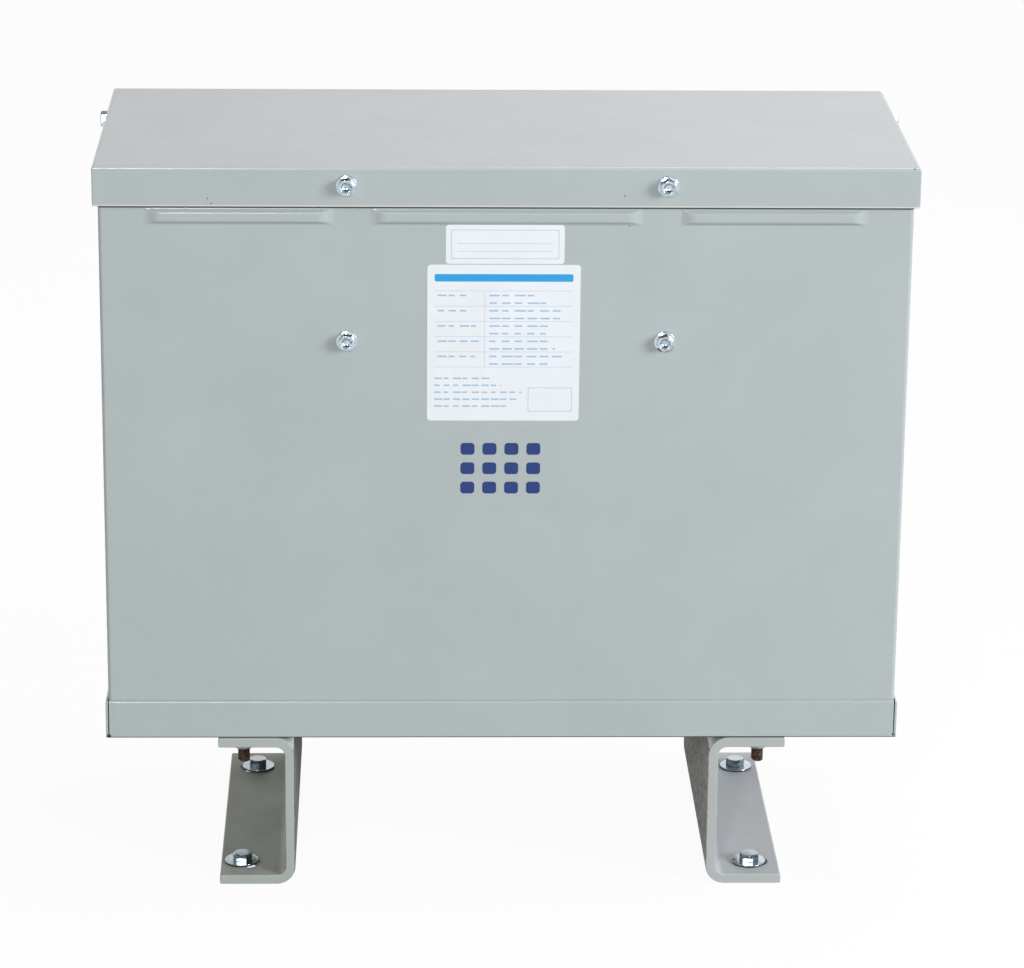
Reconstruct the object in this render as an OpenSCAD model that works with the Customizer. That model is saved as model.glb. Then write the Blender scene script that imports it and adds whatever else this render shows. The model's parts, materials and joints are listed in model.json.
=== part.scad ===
// Dry-type power transformer in a sheet-steel enclosure on two formed channel feet.
// Millimetres, +Z up. The front faces -Y. The origin is the middle of the four anchor holes, at floor level.

/* [Case] */
// Outside width of the wrapper
case_w = 511.6; // [440:0.2:580]
// Outside depth of the wrapper and rear panel
case_d = 212.4; // [180:0.2:260]
// Height from the underside of the tray to the top of the cover
case_h = 382.4; // [320:0.2:450]
// Sheet thickness of the wrapper and the rear panel
case_sheet = 1.5; // [1.2:0.1:2]
// Inside bend radius of the upright edges
case_bend = 1; // [0.5:0.1:3]
// Depth of the rear panel's side flanges
rear_flange = 15; // [10:1:20]
// Running gap between the rear panel and the wrapper's side walls
rear_gap = 0.2; // [0.1:0.05:0.5]

/* [Front beads] */
// Height of a stiffening bead
bead_h = 9.6; // [8:0.1:12]
// How far a bead stands out of the front
bead_out = 2.2; // [1.2:0.1:2.8]
// Width of a bead's sloping sides, seen from the front
bead_slope = 1.9; // [1.2:0.1:2.2]
// Length of the ramp at each end of a bead
bead_ramp = 6; // [3:0.1:10]
// Length of the middle bead, tip to tip
bead_mid_len = 168; // [120:1:190]
// Length of each side bead, tip to tip
bead_side_len = 115; // [80:1:140]
// Gap between the middle bead and a side bead
bead_space = 26; // [15:1:40]
// Drop from the cover's lower edge to the top of the beads
bead_drop = 2.2; // [1:0.1:10]

/* [Cover] */
// Sheet thickness of the cover
cover_sheet = 1.5; // [1.2:0.1:2]
// Gap between the case and the cover's skirt
cover_gap = 1.7; // [1:0.1:3]
// Height of the skirt, from the top of the cover
cover_skirt = 26; // [20:0.5:40]
// Inside bend radius of the cover's edges
cover_bend = 1; // [0.5:0.1:1.6]
// Outside radius of the cover's upright corners
cover_corner = 4.5; // [2.5:0.1:6]

/* [Tray] */
// Sheet thickness of the base tray
tray_sheet = 1.5; // [1.2:0.1:2]
// Gap between the case and the tray's flanges
tray_gap = 0.25; // [0.2:0.05:0.6]
// Height of the tray's upturned flanges, from its underside
tray_flange = 25.7; // [15:0.1:40]
// Width of the open seam at each corner of the tray
tray_seam = 0.6; // [0.4:0.1:1.2]
// Diameter of the relief hole at the foot of each seam
tray_relief = 2; // [1.2:0.1:2.6]

/* [Feet] */
// Height of a foot
foot_h = 102.8; // [70:0.2:140]
// Width of a foot's flanges, over the web
foot_flange = 49.7; // [44:0.1:65]
// Plate thickness of a foot
foot_plate = 6.35; // [4:0.05:8]
// Inside bend radius of a foot
foot_bend = 6; // [4:0.5:9]
// Edge rounding of a foot's free ends
foot_edge = 1.2; // [0.5:0.1:1.8]
// How far the tray reaches past a foot's flanges at each side
foot_inset = 72.75; // [40:0.25:100]
// How far the feet stand ahead of the tray
foot_proud = 1.6; // [0:0.1:4]
// How far the feet end short of the tray's rear
foot_short = 2.5; // [0:0.1:6]
// Distance from a web's facing side to the anchor holes
anchor_gauge = 32.4; // [29:0.1:36]
// Distance from a web's facing side to the studs
stud_gauge = 33.9; // [30:0.1:36]
// Distance from a foot's ends to the hole centres
anchor_edge = 24; // [18:0.5:40]
// Diameter of the anchor holes in the lower flanges
anchor_d = 14.3; // [9:0.1:16]

/* [Studs and nuts] */
// Diameter of the studs under the tray
stud_d = 7.9; // [6:0.1:8.6]
// How far a stud stands out below its nut
stud_tail = 9.9; // [3:0.1:15]
// Width across the flats of a nut
nut_af = 12.7; // [11.5:0.1:16]
// Height of a nut
nut_h = 6.75; // [4:0.05:9]
// Outside diameter of the washer over a nut
nut_washer_d = 22.2; // [18:0.1:24]
// Thickness of the washer over a nut
nut_washer_t = 1.6; // [1:0.1:2.5]
// Height of the chamfer at a stud's end
stud_chamfer = 0.7; // [0.3:0.1:1.2]
// Radial gap between a stud and its nut
nut_gap = 0.15; // [0.1:0.05:0.4]
// Radial gap between a stud and its washer
washer_gap = 0.35; // [0.2:0.05:0.6]
// Radial gap between a stud and its hole in a foot's upper flange
stud_gap = 0.6; // [0.3:0.1:1.2]

/* [Screws] */
// Shank diameter of a hex washer-head screw
screw_d = 6.3; // [5:0.1:7]
// Length of a screw under its head
screw_len = 14; // [10:0.5:20]
// Diameter of the washer face
screw_face_d = 13.3; // [12:0.1:15]
// Thickness of the washer face at its rim
screw_rim = 0.7; // [0.5:0.1:1]
// Height of the cone from the rim to the hexagon
screw_cone = 0.6; // [0.4:0.1:1]
// Width across the flats of the head
screw_af = 9.5; // [8:0.1:10]
// Height of the head over the washer face
screw_hex_h = 4.7; // [3.5:0.1:6]
// Diameter of the dished top of the head
screw_dish_d = 6.6; // [5:0.1:7.5]
// Diameter of the dish's floor
screw_dish_floor_d = 4.6; // [3:0.1:5]
// Depth of the dished top
screw_dish = 0.9; // [0.4:0.1:1.5]
// Distance between the two screws of a row on the front
screw_pitch = 201; // [160:1:240]
// Drop from the top of the cover to the cover's screws
cover_screw_drop = 12.3; // [9:0.1:17]
// Distance from the cover's rear face to its side screws
side_screw_back = 39.4; // [28:0.1:60]
// Drop from the top of the cover to the screws of the front
panel_screw_drop = 114; // [80:1:180]
// Radial gap of the holes that the screws pass through
screw_gap = 0.35; // [0.2:0.05:0.6]

/* [Conduit knockouts] */
// Diameter of the inner ring
knockout_small = 22.2; // [18:0.1:24]
// Diameter of the outer ring
knockout_large = 28.6; // [26:0.1:36]
// Width of the scored rings
knockout_score = 0.8; // [0.5:0.1:1.2]
// Depth of the scored rings
knockout_depth = 0.7; // [0.3:0.1:0.9]
// Drop from the top of the cover to the knockouts
knockout_drop = 66; // [55:1:90]
// Distance between the knockouts of one side
knockout_pitch = 88; // [60:1:110]

/* [Core] */
// Height of the potted core and coils, from the tray's floor
core_h = 240; // [150:1:260]
// Gap between the potted block and the walls
core_gap = 0.5; // [0.2:0.1:2]

/* [Hidden] */
$fn = 96;
eps = 0.01;
far = 1000;

cover_w = case_w + 2 * (cover_gap + cover_sheet);
cover_d = case_d + 2 * (cover_gap + cover_sheet);
tray_w = case_w + 2 * (tray_gap + tray_sheet);
tray_d = case_d + 2 * (tray_gap + tray_sheet);

// The case's mid-plane lies behind the feet's, because the feet stand ahead of the tray
foot_len = tray_d + foot_proud - foot_short;
case_y = -foot_len / 2 + foot_proud + tray_d / 2;
front_y = case_y - case_d / 2;
cover_front_y = case_y - cover_d / 2;
cover_back_y = case_y + cover_d / 2;

floor_z = foot_h + tray_sheet;
top_z = foot_h + case_h;
wall_top_z = top_z - cover_sheet;
skirt_z = top_z - cover_skirt;

cover_screw_z = top_z - cover_screw_drop;
panel_screw_z = top_z - panel_screw_drop;
side_screw_y = cover_back_y - side_screw_back;

foot_web_x = tray_w / 2 - foot_inset - foot_flange;
anchor_x = foot_web_x + anchor_gauge;
stud_x = foot_web_x + stud_gauge;
anchor_y = foot_len / 2 - anchor_edge;

hex_top_share = 0.95;
hex_chamfer_angle = 30;

bead_z = skirt_z - bead_drop - bead_h / 2;
bead_side_x = (bead_mid_len + bead_side_len) / 2 + bead_space;

// Rectangle about the origin with four round corners
module round_rect(w, h, r) {
    square([w - 2 * r, h], center = true);
    square([w, h - 2 * r], center = true);
    for (x = [-1, 1], y = [-1, 1]) {
        translate([x * (w / 2 - r), y * (h / 2 - r)]) circle(r);
    }
}

// Block standing on z = 0 with its top edges and upright corners rounded, as a folded lid is
module lid_block(w, d, h, r, corner) {
    intersection() {
        linear_extrude(h) round_rect(w, d, corner);
        rotate([90, 0, 0]) linear_extrude(far, center = true) round_rect(w, 2 * h, r);
        rotate([90, 0, 90]) linear_extrude(far, center = true) round_rect(d, 2 * h, r);
    }
}

// Block hanging below z = 0 to -h, open at the corners, with its bottom edges rounded, as a folded pan is
module pan_block(w, d, h, r) {
    intersection() {
        rotate([90, 0, 0]) linear_extrude(d, center = true) round_rect(w, 2 * h, r);
        rotate([90, 0, 90]) linear_extrude(w, center = true) round_rect(d, 2 * h, r);
        translate([0, 0, -h / 2]) cube([w, d, h], center = true);
    }
}

// Hexagonal prism standing on z = 0, its top corners chamfered to a circle
module hex_prism(across_flats, h) {
    across_corners = across_flats / cos(30);
    top_d = across_flats * hex_top_share;
    chamfer_h = (across_corners - top_d) / 2 * tan(hex_chamfer_angle);
    intersection() {
        linear_extrude(h) circle(d = across_corners, $fn = 6);
        rotate_extrude() {
            polygon([
                [0, -eps], [across_corners, -eps], [across_corners, h - chamfer_h],
                [across_corners / 2 + eps, h - chamfer_h], [top_d / 2, h], [0, h]
            ]);
        }
    }
}

// Half size of a bead at a distance out of the front. Its side rises over the given run, and the inset moves
// the side inwards, square to its slope
function bead_half(size, run, out, inset) = size / 2 - (run * out + inset * norm([bead_out, run])) / bead_out;

// Flat-topped outline of a bead across one of its directions, between two distances out of the front
module bead_outline(size, run, from, to, inset) {
    low = bead_half(size, run, from, inset);
    high = bead_half(size, run, to, inset);
    polygon([[-from, -low], [-from, low], [-to, high], [-to, -high]]);
}

// Flat-topped bar along X with sloping sides and a ramp at each end
module bead_bar(len, from, to, inset) {
    intersection() {
        rotate([90, 0, 90]) linear_extrude(far, center = true) bead_outline(bead_h, bead_slope, from, to, inset);
        rotate([0, 0, 90]) linear_extrude(far, center = true) bead_outline(len, bead_ramp, from, to, inset);
    }
}

// The three beads between two distances out of the front, with their sides moved inwards by the given amount
module beads(from, to, inset) {
    for (bead = [[0, bead_mid_len], [-bead_side_x, bead_side_len], [bead_side_x, bead_side_len]]) {
        translate([bead[0], front_y, bead_z]) bead_bar(bead[1], from, to, inset);
    }
}

// Places children at a screw of the front, with +Z pointing out of the sheet
module at_front_screw(side, y, z) {
    translate([side * screw_pitch / 2, y, z]) rotate([90, 0, 0]) children();
}

// Places children at a screw of the cover's sides, with +Z pointing out of the sheet
module at_side_screw(side) {
    translate([side * cover_w / 2, side_screw_y, cover_screw_z]) rotate([0, side * 90, 0]) children();
}

// Room for one screw's shank, a little past its tip
module screw_hole() {
    depth = screw_len + screw_gap;
    translate([0, 0, -depth]) cylinder(r = screw_d / 2 + screw_gap, h = depth + screw_gap);
}

// Room for the shanks of all the screws
module screw_holes() {
    for (side = [-1, 1]) {
        at_front_screw(side, cover_front_y, cover_screw_z) screw_hole();
        at_front_screw(side, front_y, panel_screw_z) screw_hole();
        at_side_screw(side) screw_hole();
    }
}

// Scored rings of the conduit knockouts, in both side walls
module knockout_rings() {
    for (side = [-1, 1], end = [-1, 1], d = [knockout_small, knockout_large]) {
        translate([side * case_w / 2, case_y + end * knockout_pitch / 2, top_z - knockout_drop]) {
            rotate([0, 90, 0]) difference() {
                cylinder(d = d, h = 2 * knockout_depth, center = true);
                cylinder(d = d - 2 * knockout_score, h = far, center = true);
            }
        }
    }
}

// Pan under the case: a floor with four upturned flanges, the side ones reaching past the ends of the others
module base_tray() {
    corner_x = tray_w / 2 - tray_sheet - tray_seam / 2;
    color("#aeb7b6") translate([0, case_y, foot_h]) difference() {
        mirror([0, 0, 1]) pan_block(tray_w, tray_d, tray_flange, tray_gap + tray_sheet);
        translate([0, 0, tray_sheet + far / 2]) {
            cube([tray_w - 2 * tray_sheet, tray_d - 2 * tray_sheet, far], center = true);
        }
        for (x = [-1, 1], y = [-1, 1]) {
            translate([x * corner_x, y * tray_d / 2, tray_sheet + far / 2]) {
                cube([tray_seam, 4 * tray_sheet, far], center = true);
            }
            translate([x * corner_x, y * tray_d / 2, tray_gap + tray_sheet]) rotate([90, 0, 0]) {
                cylinder(d = tray_relief, h = 4 * tray_sheet, center = true);
            }
        }
    }
}

// Front and both sides in one bent sheet, with the beads pressed out of the front
module case_wrapper() {
    r_out = case_bend + case_sheet;
    wall_h = wall_top_z - floor_z;
    color("#aeb7b6") difference() {
        union() {
            translate([0, case_y, floor_z]) linear_extrude(wall_h) difference() {
                intersection() {
                    translate([0, case_d / 2]) round_rect(case_w, 2 * case_d, r_out);
                    square([case_w, case_d], center = true);
                }
                translate([0, case_d / 2]) {
                    round_rect(case_w - 2 * case_sheet, 2 * (case_d - case_sheet), case_bend);
                }
            }
            beads(-case_sheet / 2, bead_out, 0);
        }
        beads(-case_sheet - eps, bead_out - case_sheet, case_sheet);
        screw_holes();
        knockout_rings();
    }
}

// Rear sheet between the side walls, with a flange bent forward along each
module rear_panel() {
    panel_w = case_w - 2 * (case_sheet + rear_gap);
    r_out = case_bend + case_sheet;
    color("#aeb7b6") difference() {
        translate([0, case_y, floor_z]) linear_extrude(wall_top_z - floor_z) difference() {
            intersection() {
                translate([0, -case_d / 2]) round_rect(panel_w, 2 * case_d, r_out);
                translate([0, (case_d - rear_flange) / 2]) square([panel_w, rear_flange], center = true);
            }
            translate([0, -case_d / 2]) {
                round_rect(panel_w - 2 * case_sheet, 2 * (case_d - case_sheet), case_bend);
            }
        }
        screw_holes();
    }
}

// Lid with a skirt on all four sides, resting on the top of the walls
module top_cover() {
    r_in = min(cover_bend, cover_gap);
    inner_w = cover_w - 2 * cover_sheet;
    inner_d = cover_d - 2 * cover_sheet;
    inner_h = cover_skirt - cover_sheet + eps;
    color("#b9c0c0") difference() {
        translate([0, case_y, skirt_z]) {
            lid_block(cover_w, cover_d, cover_skirt, r_in + cover_sheet, cover_corner);
        }
        translate([0, case_y, skirt_z - eps]) {
            lid_block(inner_w, inner_d, inner_h, r_in, cover_corner - cover_sheet);
        }
        screw_holes();
    }
}

// Core and coils cast into the case, under the wiring space
module core_block() {
    w = case_w - 2 * (case_sheet + rear_gap + case_sheet + core_gap);
    d = case_d - 2 * (case_sheet + core_gap);
    color("#5b5a55") difference() {
        translate([0, case_y, floor_z]) linear_extrude(core_h) round_rect(w, d, case_bend + case_sheet);
        screw_holes();
    }
}

// Channel foot on the -X side: web towards the middle, flanges reaching outwards, a hole pair in each flange
module foot() {
    profile_x = -foot_web_x - foot_flange;
    difference() {
        translate([profile_x, 0, foot_h / 2]) rotate([90, 0, 0]) linear_extrude(foot_len, center = true) {
            intersection() {
                difference() {
                    round_rect(2 * foot_flange, foot_h, foot_bend + foot_plate);
                    round_rect(2 * (foot_flange - foot_plate), foot_h - 2 * foot_plate, foot_bend);
                }
                union() {
                    translate([far / 2 + foot_edge, 0]) square(far, center = true);
                    for (s = [-1, 1]) {
                        translate([foot_flange, s * (foot_h - foot_plate) / 2]) {
                            round_rect(2 * foot_flange, foot_plate, foot_edge);
                        }
                    }
                }
            }
        }
        for (end = [-1, 1]) {
            translate([-anchor_x, end * anchor_y, -foot_plate]) cylinder(d = anchor_d, h = 3 * foot_plate);
            translate([-stud_x, end * anchor_y, foot_h - 2 * foot_plate]) {
                cylinder(r = stud_d / 2 + stud_gap, h = 3 * foot_plate);
            }
        }
    }
}

module left_foot() {
    color("#aab3b1") foot();
}

module right_foot() {
    color("#aab3b1") mirror([1, 0, 0]) foot();
}

// Places children on a stud's axis, at the underside of the foot's upper flange
module at_stud(side, end) {
    translate([side * stud_x, end * anchor_y, foot_h - foot_plate]) children();
}

// Stud welded to the tray's underside, down through the foot
module stud(side, end) {
    tail = nut_washer_t + nut_h + stud_tail;
    color("#4a382c") at_stud(side, end) translate([0, 0, -tail]) rotate_extrude() {
        polygon([
            [0, 0], [stud_d / 2 - stud_chamfer, 0], [stud_d / 2, stud_chamfer],
            [stud_d / 2, tail + foot_plate], [0, tail + foot_plate]
        ]);
    }
}

// Flat washer under the foot's upper flange
module stud_washer(side, end) {
    color("#aab3b1") at_stud(side, end) translate([0, 0, -nut_washer_t]) difference() {
        cylinder(d = nut_washer_d, h = nut_washer_t);
        cylinder(r = stud_d / 2 + washer_gap, h = 3 * nut_washer_t, center = true);
    }
}

// Hex nut under the washer
module stud_nut(side, end) {
    color("#aab3b1") at_stud(side, end) translate([0, 0, -nut_washer_t]) mirror([0, 0, 1]) difference() {
        hex_prism(nut_af, nut_h);
        cylinder(r = stud_d / 2 + nut_gap, h = 3 * nut_h, center = true);
    }
}

// Hex washer-head screw, its washer face on z = 0 and its head towards +Z
module hex_screw() {
    head_h = screw_rim + screw_cone + screw_hex_h;
    color("#c9ced1") difference() {
        union() {
            rotate_extrude() {
                polygon([
                    [0, -screw_len], [screw_d / 2, -screw_len], [screw_d / 2, 0], [screw_face_d / 2, 0],
                    [screw_face_d / 2, screw_rim], [screw_af / 2, screw_rim + screw_cone],
                    [0, screw_rim + screw_cone]
                ]);
            }
            hex_prism(screw_af, head_h);
        }
        translate([0, 0, head_h - screw_dish]) {
            cylinder(d1 = screw_dish_floor_d, d2 = screw_dish_d, h = screw_dish + eps);
        }
    }
}

module cover_screw_front(side) {
    at_front_screw(side, cover_front_y, cover_screw_z) hex_screw();
}

module cover_screw_side(side) {
    at_side_screw(side) hex_screw();
}

module panel_screw(side) {
    at_front_screw(side, front_y, panel_screw_z) hex_screw();
}

base_tray();
case_wrapper();
rear_panel();
top_cover();
core_block();
left_foot();
right_foot();
stud(-1, -1);  // left_front_stud
stud(-1, 1);  // left_rear_stud
stud(1, -1);  // right_front_stud
stud(1, 1);  // right_rear_stud
stud_washer(-1, -1);  // left_front_washer
stud_washer(-1, 1);  // left_rear_washer
stud_washer(1, -1);  // right_front_washer
stud_washer(1, 1);  // right_rear_washer
stud_nut(-1, -1);  // left_front_nut
stud_nut(-1, 1);  // left_rear_nut
stud_nut(1, -1);  // right_front_nut
stud_nut(1, 1);  // right_rear_nut
cover_screw_front(-1);  // cover_screw_front_left
cover_screw_front(1);  // cover_screw_front_right
cover_screw_side(-1);  // cover_screw_side_left
cover_screw_side(1);  // cover_screw_side_right
panel_screw(-1);  // panel_screw_left
panel_screw(1);  // panel_screw_right
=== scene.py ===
"""Looks of a dry-type power transformer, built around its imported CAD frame.

The sheet, plate and screw pieces are copies of the CAD solids with their edges rolled over. The cover, the
threads, the anchor bolts and the labels are modelled here. Lengths are in metres, in the CAD's own frame.
"""

import json
import logging
import math
from contextlib import contextmanager
from dataclasses import dataclass, field
from enum import Enum
from typing import Callable, Iterator, NamedTuple

import bmesh
import bpy
from mathutils import Matrix, Vector

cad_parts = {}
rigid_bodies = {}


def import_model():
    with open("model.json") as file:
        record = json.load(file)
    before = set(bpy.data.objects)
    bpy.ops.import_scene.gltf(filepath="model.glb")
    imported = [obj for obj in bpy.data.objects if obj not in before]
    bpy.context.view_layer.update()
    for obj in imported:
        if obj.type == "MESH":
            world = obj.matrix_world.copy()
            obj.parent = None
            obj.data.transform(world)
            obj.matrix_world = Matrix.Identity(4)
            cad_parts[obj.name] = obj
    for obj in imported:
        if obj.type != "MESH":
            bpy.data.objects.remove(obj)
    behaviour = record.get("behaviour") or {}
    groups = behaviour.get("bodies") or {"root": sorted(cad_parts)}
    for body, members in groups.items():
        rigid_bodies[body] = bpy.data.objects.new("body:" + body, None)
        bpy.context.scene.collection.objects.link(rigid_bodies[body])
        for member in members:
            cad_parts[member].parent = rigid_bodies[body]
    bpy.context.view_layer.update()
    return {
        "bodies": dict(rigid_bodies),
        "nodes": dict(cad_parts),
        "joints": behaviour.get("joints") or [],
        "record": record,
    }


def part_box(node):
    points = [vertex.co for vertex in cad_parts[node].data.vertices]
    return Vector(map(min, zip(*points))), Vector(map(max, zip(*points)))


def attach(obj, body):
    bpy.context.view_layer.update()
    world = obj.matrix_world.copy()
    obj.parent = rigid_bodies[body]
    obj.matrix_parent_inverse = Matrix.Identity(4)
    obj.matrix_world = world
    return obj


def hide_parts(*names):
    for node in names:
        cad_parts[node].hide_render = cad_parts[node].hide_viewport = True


LOG = logging.getLogger("transformer")
MM = 0.001
BODY = "root"
MERGE_DISTANCE = 0.002 * MM
FLAT_ANGLE = math.radians(0.3)
FACING = 0.9
NOISE_SPAN = (0.3, 0.7)
WHITE = (1.0, 1.0, 1.0, 1.0)
Colour = tuple[float, float, float, float]
Point = tuple[float, float, float]
Socket = bpy.types.NodeSocket
EdgeTest = Callable[[Vector, Vector, float], bool]


class Slot(Enum):
    """Material slots of the record."""

    PAINT = "case_paint"
    ZINC = "zinc_steel"
    STUD = "stud_steel"
    POTTING = "potting"


class Side(Enum):
    """Sides of the transformer, with the sign of their X."""

    LEFT = -1
    RIGHT = 1


class End(Enum):
    """Ends of a foot, with the sign of their Y."""

    FRONT = -1
    REAR = 1


def tone(red: int, green: int, blue: int) -> Colour:
    """Turns a colour as it is seen on a screen into linear light.

    Args:
        red: Red, from 0 to 255.
        green: Green, from 0 to 255.
        blue: Blue, from 0 to 255.

    Returns:
        The colour for a shader socket, with full alpha.
    """
    shares = [value / 255 for value in (red, green, blue)]
    linear = [s / 12.92 if s <= 0.04045 else ((s + 0.055) / 1.055) ** 2.4 for s in shares]
    return (*linear, 1.0)


def focus(piece: bpy.types.Object) -> None:
    """Selects one object alone and makes it the active one.

    Args:
        piece: The object.
    """
    bpy.ops.object.select_all(action="DESELECT")
    piece.select_set(True)
    bpy.context.view_layer.objects.active = piece


def new_shape(operator: Callable[..., set[str]], **options: object) -> bpy.types.Object:
    """Adds an object by one of Blender's operators, with nothing else selected.

    Args:
        operator: The operator.
        options: Values for the operator.

    Returns:
        The new object.
    """
    bpy.ops.object.select_all(action="DESELECT")
    operator(**options)
    return bpy.context.object


def fix_place(piece: bpy.types.Object) -> None:
    """Puts a piece's place, turn and scale into its mesh."""
    focus(piece)
    bpy.ops.object.transform_apply(location=True, rotation=True, scale=True)


@contextmanager
def editing(piece: bpy.types.Object) -> Iterator[None]:
    """Opens a piece in edit mode with nothing selected, and closes it again.

    Args:
        piece: The mesh object to edit.

    Returns:
        A context that is in edit mode.
    """
    focus(piece)
    bpy.ops.object.mode_set(mode="EDIT")
    bpy.ops.mesh.select_mode(type="FACE")
    bpy.ops.mesh.select_all(action="DESELECT")
    yield
    bpy.ops.object.mode_set(mode="OBJECT")


def pick_faces(piece: bpy.types.Object, wanted: Callable[[Vector, Vector], bool]) -> None:
    """Selects the faces of a piece in edit mode by their place and normal.

    Args:
        piece: The mesh object in edit mode.
        wanted: Takes a face's middle and its normal, and says whether to select it.
    """
    mesh = bmesh.from_edit_mesh(piece.data)
    for face in mesh.faces:
        face.select_set(wanted(face.calc_center_median(), face.normal))
    bmesh.update_edit_mesh(piece.data)


def pick_edges(piece: bpy.types.Object, wanted: EdgeTest) -> None:
    """Selects the edges of a piece in edit mode by their two ends and their sharpness.

    Args:
        piece: The mesh object in edit mode.
        wanted: Takes the places of an edge's ends and the angle between its faces, and says whether to
            select it.
    """
    bpy.ops.mesh.select_mode(type="EDGE")
    mesh = bmesh.from_edit_mesh(piece.data)
    for edge in mesh.edges:
        edge.select_set(wanted(edge.verts[0].co, edge.verts[1].co, edge.calc_face_angle(0.0)))
    bmesh.update_edit_mesh(piece.data)


def apply_modifier(piece: bpy.types.Object, kind: str, **settings: object) -> None:
    """Adds a modifier to a piece, sets it and applies it.

    Args:
        piece: The mesh object.
        kind: Blender's name of the modifier's type.
        settings: Values of the modifier's own properties.
    """
    focus(piece)
    bpy.ops.object.modifier_add(type=kind)
    modifier = piece.modifiers[-1]
    for name, value in settings.items():
        setattr(modifier, name, value)
    bpy.ops.object.modifier_apply(modifier=modifier.name)


def turn(piece: bpy.types.Object, angle: float, axis: str, centre: Vector) -> None:
    """Turns a piece's mesh about an axis through a point.

    Args:
        piece: The mesh object.
        angle: Angle in radians.
        axis: X, Y or Z.
        centre: A point on the axis.
    """
    with editing(piece):
        bpy.ops.mesh.select_all(action="SELECT")
        bpy.ops.transform.rotate(value=angle, orient_axis=axis, center_override=centre)


def settle(piece: bpy.types.Object, name: str, smooth_angle: float = math.radians(32)) -> bpy.types.Object:
    """Names a modelled piece, puts its place into its mesh and shades its round faces smooth.

    Args:
        piece: The mesh object.
        name: The piece's name.
        smooth_angle: Edges up to this angle are shaded smooth.

    Returns:
        The same object.
    """
    fix_place(piece)
    bpy.ops.object.shade_smooth_by_angle(angle=smooth_angle)
    apply_modifier(piece, "WEIGHTED_NORMAL", weight=100, keep_sharp=True)
    piece.name = name
    piece.data.name = name
    return piece


def copy_to(piece: bpy.types.Object, name: str, place: Vector) -> bpy.types.Object:
    """Copies a modelled piece with a mesh of its own, moved to a place.

    Args:
        piece: The piece as it was modelled, at the origin.
        name: Name of the copy.
        place: Where the origin goes.

    Returns:
        The copy.
    """
    twin = bpy.data.objects.new(name, piece.data.copy())
    bpy.context.scene.collection.objects.link(twin)
    twin.location = place
    fix_place(twin)
    twin.data.name = name
    return twin


@dataclass(frozen=True)
class SoftEdge:
    """A set of edges that is rounded further than the rest of its piece."""

    wanted: EdgeTest
    width: float


@dataclass(frozen=True)
class EdgeRoll:
    """How far the sharp edges of a solid are rolled over; a width of 0 leaves all but the soft ones."""

    width: float = 0.35 * MM
    segments: int = 4
    sharp_angle: float = math.radians(30)
    soft_segments: int = 5

    def copy(self, node: bpy.types.Object, name: str, soft: tuple[SoftEdge, ...] = (),
             cutters: tuple[bpy.types.Object, ...] = ()) -> bpy.types.Object:
        """Copies a CAD node, joins its triangles and finishes the copy.

        Args:
            node: The CAD node's object, which stays as it is.
            name: Name of the copy.
            soft: Sets of edges that are rounded further than the rest.
            cutters: Bodies that are cut away and then removed.

        Returns:
            The copy.
        """
        piece = bpy.data.objects.new(name, node.data.copy())
        bpy.context.scene.collection.objects.link(piece)
        focus(piece)
        bpy.ops.mesh.customdata_custom_splitnormals_clear()
        with editing(piece):
            bpy.ops.mesh.select_all(action="SELECT")
            bpy.ops.mesh.remove_doubles(threshold=MERGE_DISTANCE)
            bpy.ops.mesh.dissolve_limited(angle_limit=FLAT_ANGLE)
        return self.finish(piece, name, soft, cutters)

    def finish(self, piece: bpy.types.Object, name: str, soft: tuple[SoftEdge, ...] = (),
               cutters: tuple[bpy.types.Object, ...] = ()) -> bpy.types.Object:
        """Cuts a piece's reliefs, rolls its sharp edges and settles it.

        Args:
            piece: The mesh object.
            name: The piece's name.
            soft: Sets of edges that are rounded further than the rest.
            cutters: Bodies that are cut away and then removed.

        Returns:
            The same object.
        """
        for cutter in cutters:
            apply_modifier(piece, "BOOLEAN", object=cutter, operation="DIFFERENCE", solver="EXACT")
            bpy.data.objects.remove(cutter)
        if soft:
            self._soften(piece, soft)
        elif self.width:
            apply_modifier(
                piece, "BEVEL", width=self.width, segments=self.segments, limit_method="ANGLE",
                angle_limit=self.sharp_angle, use_clamp_overlap=False,
            )
        return settle(piece, name, self.sharp_angle)

    def _soften(self, piece: bpy.types.Object, soft: tuple[SoftEdge, ...]) -> None:
        """Rounds sets of edges, each by its own width, and the other sharp ones by the plain width.

        Args:
            piece: The copy.
            soft: The sets of edges.
        """
        widest = max(edges.width for edges in soft)
        sharp = SoftEdge(lambda first, second, angle: angle > self.sharp_angle, self.width)
        with editing(piece):
            for edges in (sharp, *soft):
                pick_edges(piece, edges.wanted)
                # The operator adds to the weight that an edge has, so that weight is taken away first
                bpy.ops.transform.edge_bevelweight(value=-1.0)
                bpy.ops.transform.edge_bevelweight(value=edges.width / widest)
        apply_modifier(
            piece, "BEVEL", width=widest, segments=self.soft_segments, limit_method="WEIGHT",
            use_clamp_overlap=False,
        )
        piece.data.attributes.remove(piece.data.attributes["bevel_weight_edge"])


class Grain(NamedTuple):
    """A noise: its waves in a metre, its number of finer layers and the share of these."""

    waves: float
    layers: float = 2.0
    share: float = 0.5


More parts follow.
